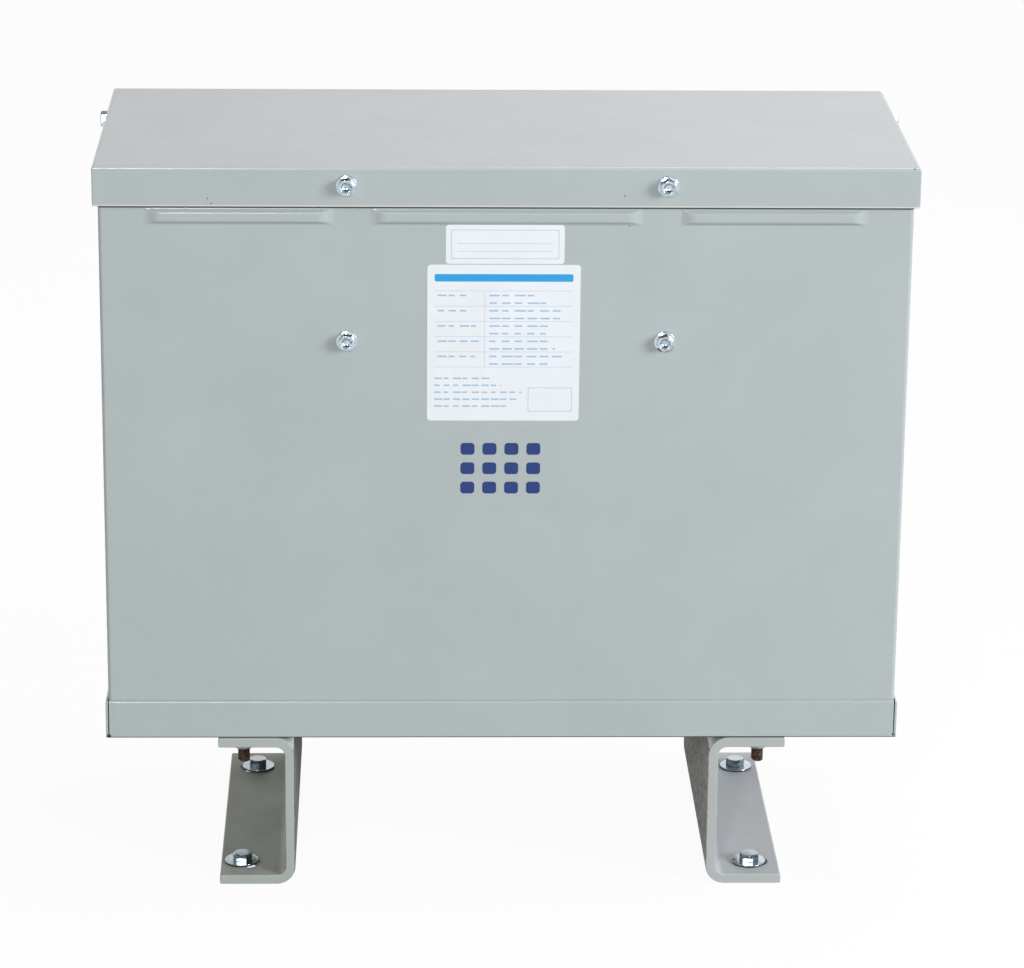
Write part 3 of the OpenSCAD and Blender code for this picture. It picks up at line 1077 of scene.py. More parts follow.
@dataclass
class Enclosure:
    """The sheet-metal case: wrapper, rear panel, cover and base tray, around the potted core."""

    roll: EdgeRoll = EdgeRoll()
    lid_roll: EdgeRoll = EdgeRoll(width=0.0)
    case_depth: float = 212.4 * MM
    cover_bend: float = 2.5 * MM
    cover_sheet: float = 1.5 * MM
    cover_corner: float = 0.8 * MM
    relief_x: float = 4.5 * MM
    tray_round: float = 0.7 * MM
    # Painted highlight: pale colour of the band along the cover skirt's lower edge.
    rim_highlight_colour: Colour = tone(212, 213, 205)
    # Painted shadow: dark colour of the band on the front just under the cover's skirt.
    skirt_shadow_colour: Colour = tone(62, 64, 62)
    # Painted shade: brown-grey colour of the band along the tray's lower edge, above the feet.
    sole_shade_colour: Colour = tone(96, 88, 78)
    rim_highlight_band: tuple[float, float] = (1.4 * MM, 0.8 * MM)
    skirt_shadow_band: tuple[float, float] = (-1.8 * MM, -1.3 * MM)
    sole_shade_band: tuple[float, float] = (1.0 * MM, 0.4 * MM)
    rim_margin: float = 6.0 * MM
    rim_angle: float = math.radians(60)
    bend_segments: int = 10
    bead_round: float = 0.9 * MM
    bead_end_round: float = 2.6 * MM
    bead_zone: tuple[float, float] = (445.0 * MM, 459.0 * MM)
    bead_angle: float = math.radians(8)
    rim_round: float = 0.55 * MM
    relief_r: float = 0.6 * MM
    filled_relief: tuple[Side, End] = (Side.LEFT, End.FRONT)
    relief_depth: float = 3.0 * MM
    relief_in: float = 0.9 * MM
    nib_radius: float = 0.55 * MM
    cover_nib_places: tuple[tuple[float, float], ...] = (
        (-187.0 * MM, 464.5 * MM), (-184.5 * MM, 461.3 * MM), (73.4 * MM, 466.8 * MM),
    )
    bead_nib: tuple[float, float] = (78.1 * MM, 455.4 * MM)
    front_nib: tuple[float, float] = (77.1 * MM, 446.6 * MM)
    rust_radius: float = 2.2 * MM
    rust_inset: float = 2.0 * MM
    rust_shares: tuple[float, ...] = (1.0, 0.6, 0.5)

    def front(self) -> float:
        """Gives the Y of the front panel's flat face."""
        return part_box("case_wrapper")[1].y - self.case_depth

    def cover_nibs(self) -> tuple[Spot, ...]:
        """Gives the dust nibs in the paint of the cover's skirt."""
        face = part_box("top_cover")[0].y
        return tuple(Spot((x, face, z), self.nib_radius) for x, z in self.cover_nib_places)

    def wrapper_nibs(self) -> tuple[Spot, ...]:
        """Gives the dust nibs in the paint of the front, on the bead and under it.

        Returns:
            The nibs.
        """
        faces = (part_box("case_wrapper")[0].y, self.front())
        nibs = zip(faces, (self.bead_nib, self.front_nib))
        return tuple(Spot((x, face, z), self.nib_radius) for face, (x, z) in nibs)

    def tray_rust(self) -> tuple[Spot, ...]:
        """Gives the rust in the open corners of the tray, most of it at the front left.

        Returns:
            The rust's spots.
        """
        low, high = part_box("base_tray")
        left, right = low.x + self.rust_inset, high.x - self.rust_inset
        half = self.rust_inset / 2
        front, rear, foot = low.y + half, high.y - half, low.z + half
        corners = ((left, front, foot), (right, rear, foot), (left, rear, foot))
        sizes = (self.rust_radius * share for share in self.rust_shares)
        return tuple(Spot(place, size) for place, size in zip(corners, sizes))

    def _bead_edges(self) -> tuple[SoftEdge, ...]:
        """Gives the edges of the pressed beads: along their length, and softer ones across their ends.

        Returns:
            Both sets of edges.
        """
        front = self.front()
        bottom, top = self.bead_zone

        def bead(first: Vector, second: Vector, angle: float) -> bool:
            """Tells the edges on the outside of the beads from all others."""
            inside = all(bottom < tip.z < top and tip.y < front + MERGE_DISTANCE for tip in (first, second))
            return inside and angle > self.bead_angle

        def across(first: Vector, second: Vector, angle: float) -> bool:
            """Tells the upright edges of the beads' ends."""
            return bead(first, second, angle) and abs(first.x - second.x) < MERGE_DISTANCE

        def along(first: Vector, second: Vector, angle: float) -> bool:
            """Tells the other edges of the beads."""
            return bead(first, second, angle) and not across(first, second, angle)

        return SoftEdge(along, self.bead_round), SoftEdge(across, self.bead_end_round)

    def _rim_edges(self, node: str, height: float, width: float) -> SoftEdge:
        """Gives the edges along a sheet's level rim, near its outline.

        Args:
            node: The sheet's CAD node.
            height: Z of the rim.
            width: How far the edges are rounded.

        Returns:
            The edges.
        """
        low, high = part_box(node)
        seam_length = 10 * self.rim_margin

        def outer(point: Vector) -> bool:
            """Tells whether a point of the rim lies near the outline."""
            gaps = (point.x - low.x, high.x - point.x, point.y - low.y, high.y - point.y)
            return abs(point.z - height) < MERGE_DISTANCE and min(gaps) <= self.rim_margin

        def wanted(first: Vector, second: Vector, angle: float) -> bool:
            """Tells the rim's long edges from all others, such as those of the corner seams."""
            long_edge = (first - second).length > seam_length
            return long_edge and outer(first) and outer(second) and angle > self.rim_angle

        return SoftEdge(wanted, width)

    def _lid(self) -> bpy.types.Object:
        """Models the folded cover: a sheet with rolled top edges and a skirt on all four sides.

        Returns:
            The cover.
        """
        low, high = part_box("top_cover")
        middle, size = (low + high) / 2, high - low
        lid = new_shape(bpy.ops.mesh.primitive_cube_add, size=1.0, location=middle, scale=size)
        fix_place(lid)
        with editing(lid):
            pick_faces(lid, lambda middle, normal: normal.z < -FACING)
            bpy.ops.mesh.delete(type="FACE")
            pick_edges(lid, lambda first, second, angle: min(first.z, second.z) > high.z - MERGE_DISTANCE)
            bpy.ops.mesh.bevel(offset=self.cover_bend, segments=self.bend_segments, affect="EDGES")
        apply_modifier(lid, "SOLIDIFY", thickness=self.cover_sheet, offset=-1.0, use_even_offset=True)
        return lid

    def _lid_corners(self) -> SoftEdge:
        """Gives the upright corners of the cover, up to the ends of its rolled edges.

        Returns:
            The corners' edges.
        """
        low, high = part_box("top_cover")
        middle = (low + high) / 2

        def diagonal(point: Vector) -> bool:
            """Tells whether a point lies on the mitre of a corner, on the sheet's outside.

            Args:
                point: The point.

            Returns:
                Whether it does.
            """
            across = high.x - middle.x - abs(point.x - middle.x)
            along = high.y - middle.y - abs(point.y - middle.y)
            reach = math.hypot(self.cover_bend - across, max(0.0, point.z - high.z + self.cover_bend))
            outside = across < self.cover_bend and reach > self.cover_bend - self.cover_sheet / 2
            return outside and abs(across - along) < 10 * MERGE_DISTANCE

        def wanted(first: Vector, second: Vector, angle: float) -> bool:
            """Tells the corners' edges from all others, such as those from corner to corner."""
            one_corner = max(abs(first.x - second.x), abs(first.y - second.y)) < self.cover_bend
            return one_corner and diagonal(first) and diagonal(second) and angle > self.bead_angle

        return SoftEdge(wanted, self.cover_corner)

    def _reliefs(self) -> tuple[bpy.types.Object, ...]:
        """Models the cutters of the small reliefs in the cover's top corners, all but the filled one.

        Returns:
            The cutters.
        """
        low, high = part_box("top_cover")
        cutters = []
        for side in Side:
            for end, edge in ((End.FRONT, low.y), (End.REAR, high.y)):
                if (side, end) == self.filled_relief:
                    continue
                x = side.value * (high.x - self.relief_x)
                cutters.append(new_shape(
                    bpy.ops.mesh.primitive_cylinder_add, vertices=20, radius=self.relief_r,
                    depth=self.relief_depth, rotation=(end.value * -math.pi / 4, 0, 0),
                    location=(x, edge - end.value * self.relief_in, high.z - self.relief_in),
                ))
        return tuple(cutters)

    def build(self, nodes: dict[str, bpy.types.Object], effects: Effects) -> None:
        """Builds and dresses the case.

        Args:
            nodes: The CAD nodes by name.
            effects: The shared node groups.
        """
        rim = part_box("top_cover")[0].z
        edges = (self._rim_edges("top_cover", rim, self.rim_round), self._lid_corners())
        cover = self.lid_roll.finish(self._lid(), "cover_sheet", edges, self._reliefs())
        # Painted highlight: the skirt's lowest 1.4 mm is lightened, for light caught on its rolled lower
        # edge.
        bare = Band(*(rim + height for height in self.rim_highlight_band), self.rim_highlight_colour)
        paint = SheetPaint("case_paint_cover", bands=(bare,), nibs=self.cover_nibs())
        hand_over(cover, paint.material(effects), Slot.PAINT, "top_cover")
        wrapper = self.roll.copy(nodes["case_wrapper"], "wrapper_sheet", self._bead_edges())
        # Painted shadow: the front is darkened from just under the skirt's edge upward, where the skirt
        # casts its shadow.
        skirt_shadow = Band(*(rim + height for height in self.skirt_shadow_band), self.skirt_shadow_colour)
        paint = SheetPaint("case_paint_front", bands=(skirt_shadow,), nibs=self.wrapper_nibs())
        hand_over(wrapper, paint.material(effects), Slot.PAINT, "case_wrapper")
        low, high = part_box("base_tray")
        edges = (
            self._rim_edges("base_tray", high.z, self.rim_round),
            self._rim_edges("base_tray", low.z, self.tray_round),
        )
        tray = self.roll.copy(nodes["base_tray"], "tray_sheet", edges)
        # Painted shade: the tray darkens over its lowest millimetre, in the crease where it sits on the
        # feet.
        sole_shade = Band(*(low.z + height for height in self.sole_shade_band), self.sole_shade_colour)
        paint = SheetPaint("case_paint_tray", bands=(sole_shade,), rust=self.tray_rust())
        hand_over(tray, paint.material(effects), Slot.PAINT, "base_tray")
        rear = self.roll.copy(nodes["rear_panel"], "rear_sheet")
        hand_over(rear, SheetPaint("case_paint_rear").material(effects), Slot.PAINT, "rear_panel")
        core = nodes["core_block"]
        core.data.materials.clear()
        core.data.materials.append(PottedResin().material(effects))


@dataclass
class ChannelFeet:
    """The two formed channels under the case."""

    roll: EdgeRoll = EdgeRoll(width=0.6 * MM)
    hole_r: float = 9.4 * MM
    hole_x: float = 168.3 * MM
    hole_y: tuple[float, float] = (-85.3 * MM, 81.5 * MM)
    plate: float = 6.35 * MM
    # Lit and shaded copies of the paint. The left foot's is darker and greener, with dark flanges: partly
    # dirt, partly painted shade. The right foot's flanges take a pale blue: painted light.
    paints: dict[Side, SheetPaint] = field(default_factory=lambda: {
        Side.LEFT: SheetPaint(
            "foot_paint_left", tone(176, 185, 180), tone(171, 180, 175), tone(146, 144, 130), dust=0.6,
            dust_and_light_top=60 * MM,
        ),
        Side.RIGHT: SheetPaint(
            "foot_paint_right", tone(179, 186, 183), tone(174, 181, 178), tone(214, 214, 222), dust=0.7,
            dust_and_light_top=60 * MM,
        ),
    })
    # Both webs' inner sides are painted shade under the case; the right one is lighter, a lit copy of the
    # left.
    shaded_scales: dict[Side, ShadedMillScale] = field(default_factory=lambda: {
        Side.LEFT: ShadedMillScale("mill_scale_shaded_left"),
        Side.RIGHT: ShadedMillScale("mill_scale_shaded_right", tone(164, 164, 163), tone(222, 222, 220)),
    })

    def _holes(self, side: Side) -> tuple[bpy.types.Object, ...]:
        """Models the cutters that open out a foot's two anchor holes.

        Args:
            side: The foot's side.

        Returns:
            The cutters.
        """
        x = side.value * self.hole_x
        return tuple(
            new_shape(
                bpy.ops.mesh.primitive_cylinder_add, vertices=64, radius=self.hole_r,
                depth=2 * self.plate, location=(x, y, self.plate / 2),
            )
            for y in self.hole_y
        )

    def build(self, nodes: dict[str, bpy.types.Object], effects: Effects) -> None:
        """Builds and dresses both feet.

        Args:
            nodes: The CAD nodes by name.
            effects: The shared node groups.
        """
        for side in Side:
            node = f"{side.name.lower()}_foot"
            foot = self.roll.copy(nodes[node], f"{node}_channel", cutters=self._holes(side))
            hand_over(foot, self.paints[side].material(effects), Slot.PAINT, node)
            foot.data.materials.append(self.shaded_scales[side].material())
            # The web's inner side takes the dark steel finish, painted shade under the case.
            low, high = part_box(node)
            inner = low.x if side is Side.RIGHT else high.x
            for face in foot.data.polygons:
                if abs(face.center.x - inner) < MM:
                    face.material_index = 1


@dataclass
class StudSet:
    """The studs under the tray with their washers and nuts."""

    thread_d: float = 7.9 * MM
    pitch: float = 1.41 * MM
    thread_depth: float = 0.75 * MM
    crest: float = 0.18
    end_chamfer: float = 0.6 * MM
    end_share: float = 0.86
    steps: int = 28
    roll: EdgeRoll = EdgeRoll(width=0.3 * MM, segments=2, sharp_angle=math.radians(40))
    nut_turns: tuple[float, ...] = (12.0, 40.0, 27.0, 5.0)
    paint: SheetPaint = SheetPaint("nut_paint", dust=0.3, dust_and_light_top=150 * MM)

    def _stud(self, length: float) -> bpy.types.Object:
        """Models one threaded stud, its lower end at the origin.

        Args:
            length: Length of the stud.

        Returns:
            The stud.
        """
        major, minor = self.thread_d / 2, self.thread_d / 2 - self.thread_depth
        upright = (math.pi / 2, 0, 0)
        stud = new_shape(bpy.ops.mesh.primitive_plane_add, size=self.pitch, rotation=upright)
        fix_place(stud)
        half = self.pitch / 2
        flat = self.crest * self.pitch
        with editing(stud):
            bpy.ops.mesh.select_all(action="SELECT")
            bpy.ops.mesh.delete(type="ONLY_FACE")
            pick_edges(stud, lambda first, second, angle: first.x < 0 and second.x < 0)
            bpy.ops.mesh.delete(type="EDGE_FACE")
        for vertex in stud.data.vertices:
            outer = vertex.co.x > 0
            vertex.co.x = major if outer else minor
            vertex.co.z = math.copysign(flat / 2 if outer else half, vertex.co.z)
        turns = math.ceil(length / self.pitch) + 2
        apply_modifier(
            stud, "SCREW", axis="Z", angle=2 * math.pi, screw_offset=self.pitch, iterations=turns,
            steps=self.steps, render_steps=self.steps, use_merge_vertices=True,
            merge_threshold=MERGE_DISTANCE,
        )
        base, up = self.pitch, (0, 0, 1)
        top = base + length - self.end_chamfer
        with editing(stud):
            bpy.ops.mesh.select_all(action="SELECT")
            bpy.ops.mesh.remove_doubles(threshold=MERGE_DISTANCE)
            bpy.ops.mesh.bisect(plane_co=(0, 0, base), plane_no=up, use_fill=True, clear_inner=True)
            bpy.ops.mesh.select_all(action="SELECT")
            bpy.ops.mesh.bisect(plane_co=(0, 0, top), plane_no=up, use_fill=True, clear_outer=True)
            bpy.ops.mesh.select_all(action="SELECT")
            bpy.ops.mesh.normals_make_consistent(inside=False)
            bpy.ops.mesh.select_all(action="DESELECT")
            pick_faces(stud, lambda middle, normal: abs(middle.z - base) < MERGE_DISTANCE)
            bpy.ops.mesh.extrude_region_move(TRANSFORM_OT_translate={"value": (0, 0, -self.end_chamfer)})
            taper = (self.end_share, self.end_share, 1)
            bpy.ops.transform.resize(value=taper, center_override=(0, 0, base))
        stud.location = (0, 0, self.end_chamfer - base)
        return settle(stud, "threaded_stud")

    def build(self, nodes: dict[str, bpy.types.Object], effects: Effects) -> None:
        """Builds and dresses the studs, washers and nuts.

        Args:
            nodes: The CAD nodes by name.
            effects: The shared node groups.
        """
        thread, paint = RustyThread().material(effects), self.paint.material(effects)
        turns = iter(self.nut_turns)
        first: bpy.types.Object | None = None
        for side in Side:
            for end in End:
                place = f"{side.name}_{end.name}".lower()
                low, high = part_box(f"{place}_stud")
                middle = (low + high) / 2
                if first is None:
                    first = self._stud(high.z - low.z)
                stud = copy_to(first, f"{place}_thread", Vector((middle.x, middle.y, low.z)))
                hand_over(stud, thread, Slot.STUD, f"{place}_stud")
                nut = self.roll.copy(nodes[f"{place}_nut"], f"{place}_hex_nut")
                turn(nut, math.radians(next(turns)), "Z", middle)
                hand_over(nut, paint, Slot.PAINT, f"{place}_nut")
                washer = self.roll.copy(nodes[f"{place}_washer"], f"{place}_flat_washer")
                hand_over(washer, paint, Slot.PAINT, f"{place}_washer")
        bpy.data.objects.remove(first)


@dataclass
class HeadScrews:
    """The hex washer-head screws of the cover and the front panel."""

    roll: EdgeRoll = EdgeRoll(width=0.22 * MM, segments=4, sharp_angle=math.radians(40))
    turns: dict[str, float] = field(default_factory=lambda: {
        "cover_screw_front_left": 8.0, "cover_screw_front_right": 33.0, "cover_screw_side_left": 20.0,
        "cover_screw_side_right": 47.0, "panel_screw_left": 52.0, "panel_screw_right": 17.0,
    })
    rusty: str = "panel_screw_right"
    bowl_r: float = 3.65 * MM
    bowl_out: float = 1.35 * MM
    face_d: float = 13.3 * MM
    shank: float = 14.0 * MM
    rust_radius: float = 3.3 * MM
    rust_angles: tuple[float, ...] = (-115.0, -95.0, -75.0, -55.0)

    def _rust(self) -> tuple[Spot, ...]:
        """Gives the rust along the lower rim of the rusty screw's washer face.

        Returns:
            The rust's spots.
        """
        low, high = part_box(self.rusty)
        middle = (low + high) / 2
        sheet, rim = high.y - self.shank, self.face_d / 2
        spots = []
        for angle in map(math.radians, self.rust_angles):
            place = (middle.x + rim * math.cos(angle), sheet, middle.z + rim * math.sin(angle))
            spots.append(Spot(place, self.rust_radius))
        return tuple(spots)

    def _bowl(self, node: str) -> bpy.types.Object:
        """Models the ball that hollows the top of a screw's head.

        Args:
            node: The screw's name.

        Returns:
            The ball.
        """
        low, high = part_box(node)
        centre = (low + high) / 2
        if "side_right" in node:
            centre.x = high.x + self.bowl_out
        elif "side_left" in node:
            centre.x = low.x - self.bowl_out
        else:
            centre.y = low.y - self.bowl_out
        return new_shape(
            bpy.ops.mesh.primitive_uv_sphere_add, segments=48, ring_count=32, radius=self.bowl_r,
            location=centre,
        )

    def build(self, nodes: dict[str, bpy.types.Object], effects: Effects) -> None:
        """Builds and dresses the six screws.

        Args:
            nodes: The CAD nodes by name.
            effects: The shared node groups.
        """
        zinc = ZincPlate("screw_zinc").material(effects)
        rusty = ZincPlate("screw_zinc_rusty", rust=self._rust()).material(effects)
        for node, angle in self.turns.items():
            low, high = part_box(node)
            piece = self.roll.copy(nodes[node], f"{node}_head", cutters=(self._bowl(node),))
            turn(piece, math.radians(angle), "X" if "side" in node else "Y", (low + high) / 2)
            hand_over(piece, rusty if node == self.rusty else zinc, Slot.ZINC, node)


@dataclass
class AnchorSet:
    """The four anchor bolts in the feet, each on a large washer."""

    across_flats: float = 11.1 * MM
    head_h: float = 4.8 * MM
    chamfer: float = math.radians(30)
    crown_d: float = 10.4 * MM
    face_d: float = 10.6 * MM
    face_h: float = 0.3 * MM
    shank_d: float = 6.3 * MM
    washer_d: float = 22.2 * MM
    washer_bore: float = 8.0 * MM
    washer_t: float = 1.5 * MM
    floor_gap: float = 0.3 * MM
    plate: float = 6.35 * MM
    hole_pitch: tuple[float, float] = (335.0 * MM, 167.0 * MM)
    washer_play: float = 1.22
    washer_roll: float = 0.3 * MM
    washer_sharp: float = math.radians(40)
    bolt_roll: float = 0.2 * MM
    bolt_sharp: float = math.radians(25)
    # Painted shade: the washers' rims are darkened below their top face, for the dark they mirror and the
    # shadow under them.
    edge_shade_band: tuple[float, float] = (-0.3 * MM, -0.5 * MM)
    edge_shade_colour: Colour = tone(74, 80, 84)
    # Painted highlight: the top of each bolt head is lightened.
    crown_highlight_band: tuple[float, float] = (-0.5 * MM, -0.2 * MM)
    crown_highlight_colour: Colour = tone(204, 213, 221)
    washer_zinc: tuple[Colour, Colour] = (tone(222, 229, 235), tone(190, 202, 212))
    # Painted shade: the bolts' zinc is far darker than the washers', for the dark reflections in their
    # flats.
    shaded_bolt_zinc: tuple[Colour, Colour] = (tone(150, 160, 168), tone(98, 108, 116))
    shifts: dict[str, tuple[float, float]] = field(default_factory=lambda: {
        "left_front": (-3.1 * MM, -0.2 * MM), "left_rear": (1.9 * MM, -1.6 * MM),
        "right_front": (-1.9 * MM, -2.4 * MM), "right_rear": (2.0 * MM, -2.0 * MM),
    })
    turns: dict[str, float] = field(default_factory=lambda: {
        "left_front": 36.8, "left_rear": -7.0, "right_front": 43.7, "right_rear": 38.0,
    })

    def _washer(self) -> bpy.types.Object:
        """Models one flat washer, its underside at the origin.

        Returns:
            The washer.
        """
        washer = new_shape(
            bpy.ops.mesh.primitive_cylinder_add, vertices=72, radius=self.washer_d / 2,
            depth=self.washer_t, location=(0, 0, self.washer_t / 2),
        )
        with editing(washer):
            pick_faces(washer, lambda middle, normal: abs(normal.z) > FACING)
            bpy.ops.mesh.inset(thickness=(self.washer_d - self.washer_bore) / 2, use_individual=True)
            bpy.ops.mesh.bridge_edge_loops()
        apply_modifier(
            washer, "BEVEL", width=self.washer_roll, segments=3, limit_method="ANGLE",
            angle_limit=self.washer_sharp,
        )
        return settle(washer, "anchor_washer")

    def _bolt(self) -> bpy.types.Object:
        """Models one hex bolt, the underside of its head at the origin.

        Returns:
            The bolt.
        """
        corner_r = self.across_flats / 2 / math.cos(math.radians(30))
        bolt = new_shape(
            bpy.ops.mesh.primitive_cylinder_add, vertices=6, radius=corner_r,
            depth=self.head_h - self.face_h, location=(0, 0, (self.head_h + self.face_h) / 2),
        )
        deep, crown_r = 3 * self.head_h, self.crown_d / 2
        cone = new_shape(
            bpy.ops.mesh.primitive_cone_add, vertices=96, depth=deep, radius2=crown_r,
            radius1=crown_r + deep / math.tan(self.chamfer), location=(0, 0, self.head_h - deep / 2),
        )
        apply_modifier(bolt, "BOOLEAN", object=cone, operation="INTERSECT", solver="EXACT")
        bpy.data.objects.remove(cone)
        reach = self.plate + self.washer_t - self.floor_gap
        shank = new_shape(
            bpy.ops.mesh.primitive_cylinder_add, vertices=48, radius=self.face_d / 2,
            depth=2 * self.face_h, location=(0, 0, self.face_h),
        )
        with editing(shank):
            pick_faces(shank, lambda middle, normal: normal.z < -FACING)
            bpy.ops.mesh.inset(thickness=(self.face_d - self.shank_d) / 2)
            bpy.ops.mesh.extrude_region_move(TRANSFORM_OT_translate={"value": (0, 0, -reach)})
        apply_modifier(bolt, "BOOLEAN", object=shank, operation="UNION", solver="EXACT")
        bpy.data.objects.remove(shank)
        apply_modifier(
            bolt, "BEVEL", width=self.bolt_roll, segments=2, limit_method="ANGLE",
            angle_limit=self.bolt_sharp,
        )
        return settle(bolt, "anchor_bolt")

    def build(self, effects: Effects) -> None:
        """Builds and dresses the bolts and washers.

        Args:
            effects: The shared node groups.
        """
        seat_z = self.plate + self.washer_t
        crown_z = seat_z + self.head_h
        # Painted shade: dark band over the washers' rims.
        edge = Band(*(seat_z + height for height in self.edge_shade_band), self.edge_shade_colour)
        # Painted highlight: pale band on the top of each bolt head.
        crown_highlight = Band(*(crown_z + height for height in self.crown_highlight_band), self.crown_highlight_colour)
        plain = ZincPlate("washer_zinc", *self.washer_zinc, bands=(edge,)).material(effects)
        # Painted shade: the bolts take the darker zinc.
        shaded_bolt_finish = ZincPlate("shaded_bolt_zinc", *self.shaded_bolt_zinc, bands=(crown_highlight,)).material(effects)
        bolt, washer = self._bolt(), self._washer()
        half_x, half_y = (pitch / 2 for pitch in self.hole_pitch)
        for side in Side:
            for end in End:
                place = f"{side.name}_{end.name}".lower()
                hole = Vector((side.value * half_x, end.value * half_y, self.plate))
                shift = Vector((*self.shifts[place], 0))
                spot = hole + shift * self.washer_play
                hand_over(copy_to(washer, f"{place}_anchor_washer", spot), plain, Slot.ZINC)
                seat = hole + shift + Vector((0, 0, self.washer_t))
                screw = copy_to(bolt, f"{place}_anchor_bolt", seat)
                turn(screw, math.radians(self.turns[place]), "Z", seat)
                hand_over(screw, shaded_bolt_finish, Slot.ZINC)
        bpy.data.objects.remove(bolt)
        bpy.data.objects.remove(washer)


@dataclass(frozen=True)
class Label:
    """One adhesive film: its edges on the front, its corner radius and its thickness."""

    name: str
    left: float
    right: float
    bottom: float
    top: float
    corner: float
    thickness: float

    def model(self, front: float) -> bpy.types.Object:
        """Models the film on the front panel.

        Args:
            front: Y of the front panel's face.

        Returns:
            The film.
        """
        film = new_shape(
            bpy.ops.mesh.primitive_plane_add, size=1.0, rotation=(math.pi / 2, 0, 0),
            location=((self.left + self.right) / 2, front, (self.bottom + self.top) / 2),
        )
        film.scale = (self.right - self.left, self.top - self.bottom, 1.0)
        fix_place(film)
        with editing(film):
            bpy.ops.mesh.select_all(action="SELECT")
            bpy.ops.mesh.bevel(offset=self.corner, segments=8, affect="VERTICES")
        apply_modifier(film, "SOLIDIFY", thickness=self.thickness, offset=1.0)
        return settle(film, self.name)


@dataclass
class LabelSet:
    """The adhesive films on the front: a data label, a small sticker and a clear decal."""

    data: Label = Label("data_label", -49.8 * MM, 46.7 * MM, 318.8 * MM, 421.3 * MM, 2.2 * MM, 0.15 * MM)
    sticker: Label = Label(
        "upper_sticker", -38.3 * MM, 36.3 * MM, 421.9 * MM, 447.2 * MM, 2.0 * MM, 0.15 * MM,
    )
    decal: Label = Label("clear_decal", -41.4 * MM, 35.8 * MM, 257.4 * MM, 316.4 * MM, 1.5 * MM, 0.08 * MM)

    margin: float = 4.5 * MM
    rule: float = 0.3 * MM
    frame_line: float = 0.35 * MM
    form_rows: int = 6
    form_pitch: float = 10.0 * MM
    tile_columns: tuple[float, ...] = (-21.0 * MM, -7.0 * MM, 7.0 * MM, 21.0 * MM)
    tile_rows: tuple[float, ...] = (-13.0 * MM, 0.0, 13.0 * MM)

    def data_film(self) -> PrintedFilm:
        """Gives the data label's film: an empty ruled form under a plain band.

        Returns:
            The film.
        """
        mid = (self.data.left + self.data.right) / 2
        width = self.data.right - self.data.left - 2 * self.margin
        top, left, right = self.data.top, mid - width / 2, mid + width / 2
        rows = [top - 17 * MM - row * self.form_pitch for row in range(self.form_rows)]
        lines = [PrintedBar(mid, row, width, self.rule) for row in rows]
        lines.append(PrintedBar(mid - 12 * MM, top - 42 * MM, self.rule, 50 * MM))
        corner = (right - 14 * MM, self.data.bottom + 14 * MM)
        box = PrintedBar(*corner, 28 * MM, 16 * MM, 1.0 * MM, self.frame_line)
        head, foot = top - 19.5 * MM, top - 66 * MM
        return PrintedFilm(
            "data_label_film",
            solid=(PrintedBar(mid, top - 8.5 * MM, width, 5 * MM, 1.2 * MM),),
            fine=(*lines, box),
            rows=(
                DashedRows(left + 2 * MM, mid - 14 * MM, head, foot, self.form_pitch, 0.1),
                DashedRows(mid - 9 * MM, right - 6 * MM, head, foot, self.form_pitch / 2, 0.2, 8 * MM),
                DashedRows(left, mid + 12 * MM, top - 74 * MM, top - 97 * MM, 4.6 * MM, 0.21, 6 * MM),
            ),
        )

    def sticker_film(self) -> PrintedFilm:
        """Gives the small sticker's film: a frame line round blank rulings.

        Returns:
            The film.
        """
        mid = (self.sticker.left + self.sticker.right) / 2
        high = (self.sticker.bottom + self.sticker.top) / 2
        frame = PrintedBar(mid, high, 68 * MM, 19 * MM, 1.2 * MM, self.frame_line)
        rulings = [PrintedBar(mid, high + step * MM, 60 * MM, self.rule) for step in (-4.5, 0.5)]
        return PrintedFilm("upper_sticker_film", fine=(frame, *rulings))

    def decal_film(self) -> PrintedFilm:
        """Gives the clear decal's film: four columns of three plain rounded tiles.

        Returns:
            The film.
        """
        mid = (self.decal.left + self.decal.right) / 2
        high = (self.decal.bottom + self.decal.top) / 2
        tiles = [
            PrintedBar(mid + x, high + z, 9 * MM, 8 * MM, 2.2 * MM)
            for x in self.tile_columns for z in self.tile_rows
        ]
        return PrintedFilm(
            "clear_decal_film", base=tone(190, 194, 188), shade=tone(186, 190, 184), base_alpha=0.006,
            solid_ink=tone(16, 52, 118), solid=tuple(tiles), gloss_low=0.2, gloss_high=0.3,
        )

    def build(self, front: float, effects: Effects) -> None:
        """Builds and dresses the films.

        Args:
            front: Y of the front panel's face.
            effects: The shared node groups.
        """
        films = (
            (self.data, self.data_film()), (self.sticker, self.sticker_film()),
            (self.decal, self.decal_film()),
        )
        for label, film in films:
            hand_over(label.model(front), film.material(effects))


@dataclass(frozen=True)
class PhotoCamera:
    """The camera at the photograph's place and angle."""

    place: Point = (-0.0731, -2.61245, 1.1021)
    yaw: float = math.radians(1.779)
    pitch: float = math.radians(18.215)
    roll: float = math.radians(-0.6)
    focal_pixels: float = 4131.9
    frame_pixels: int = 1024
    sensor_mm: float = 36.0

    def build(self) -> None:
        """Makes the camera and gives it to the scene."""
        camera = new_shape(bpy.ops.object.camera_add, location=self.place)
        camera.name = "photo_camera"
        aim = Matrix.Rotation(-self.yaw, 4, "Z") @ Matrix.Rotation(math.pi / 2 - self.pitch, 4, "X")
        camera.matrix_world = Matrix.Translation(self.place) @ aim @ Matrix.Rotation(-self.roll, 4, "Z")
        camera.data.sensor_width = self.sensor_mm
        camera.data.lens = self.focal_pixels / self.frame_pixels * self.sensor_mm
        bpy.context.scene.camera = camera


@dataclass(frozen=True)
class SoftBox:
    """A square studio light: where it stands, its side, its power and its colour."""

    name: str
    place: Point
    side: float
    watts: float
    colour: Point = (1.0, 1.0, 1.0)


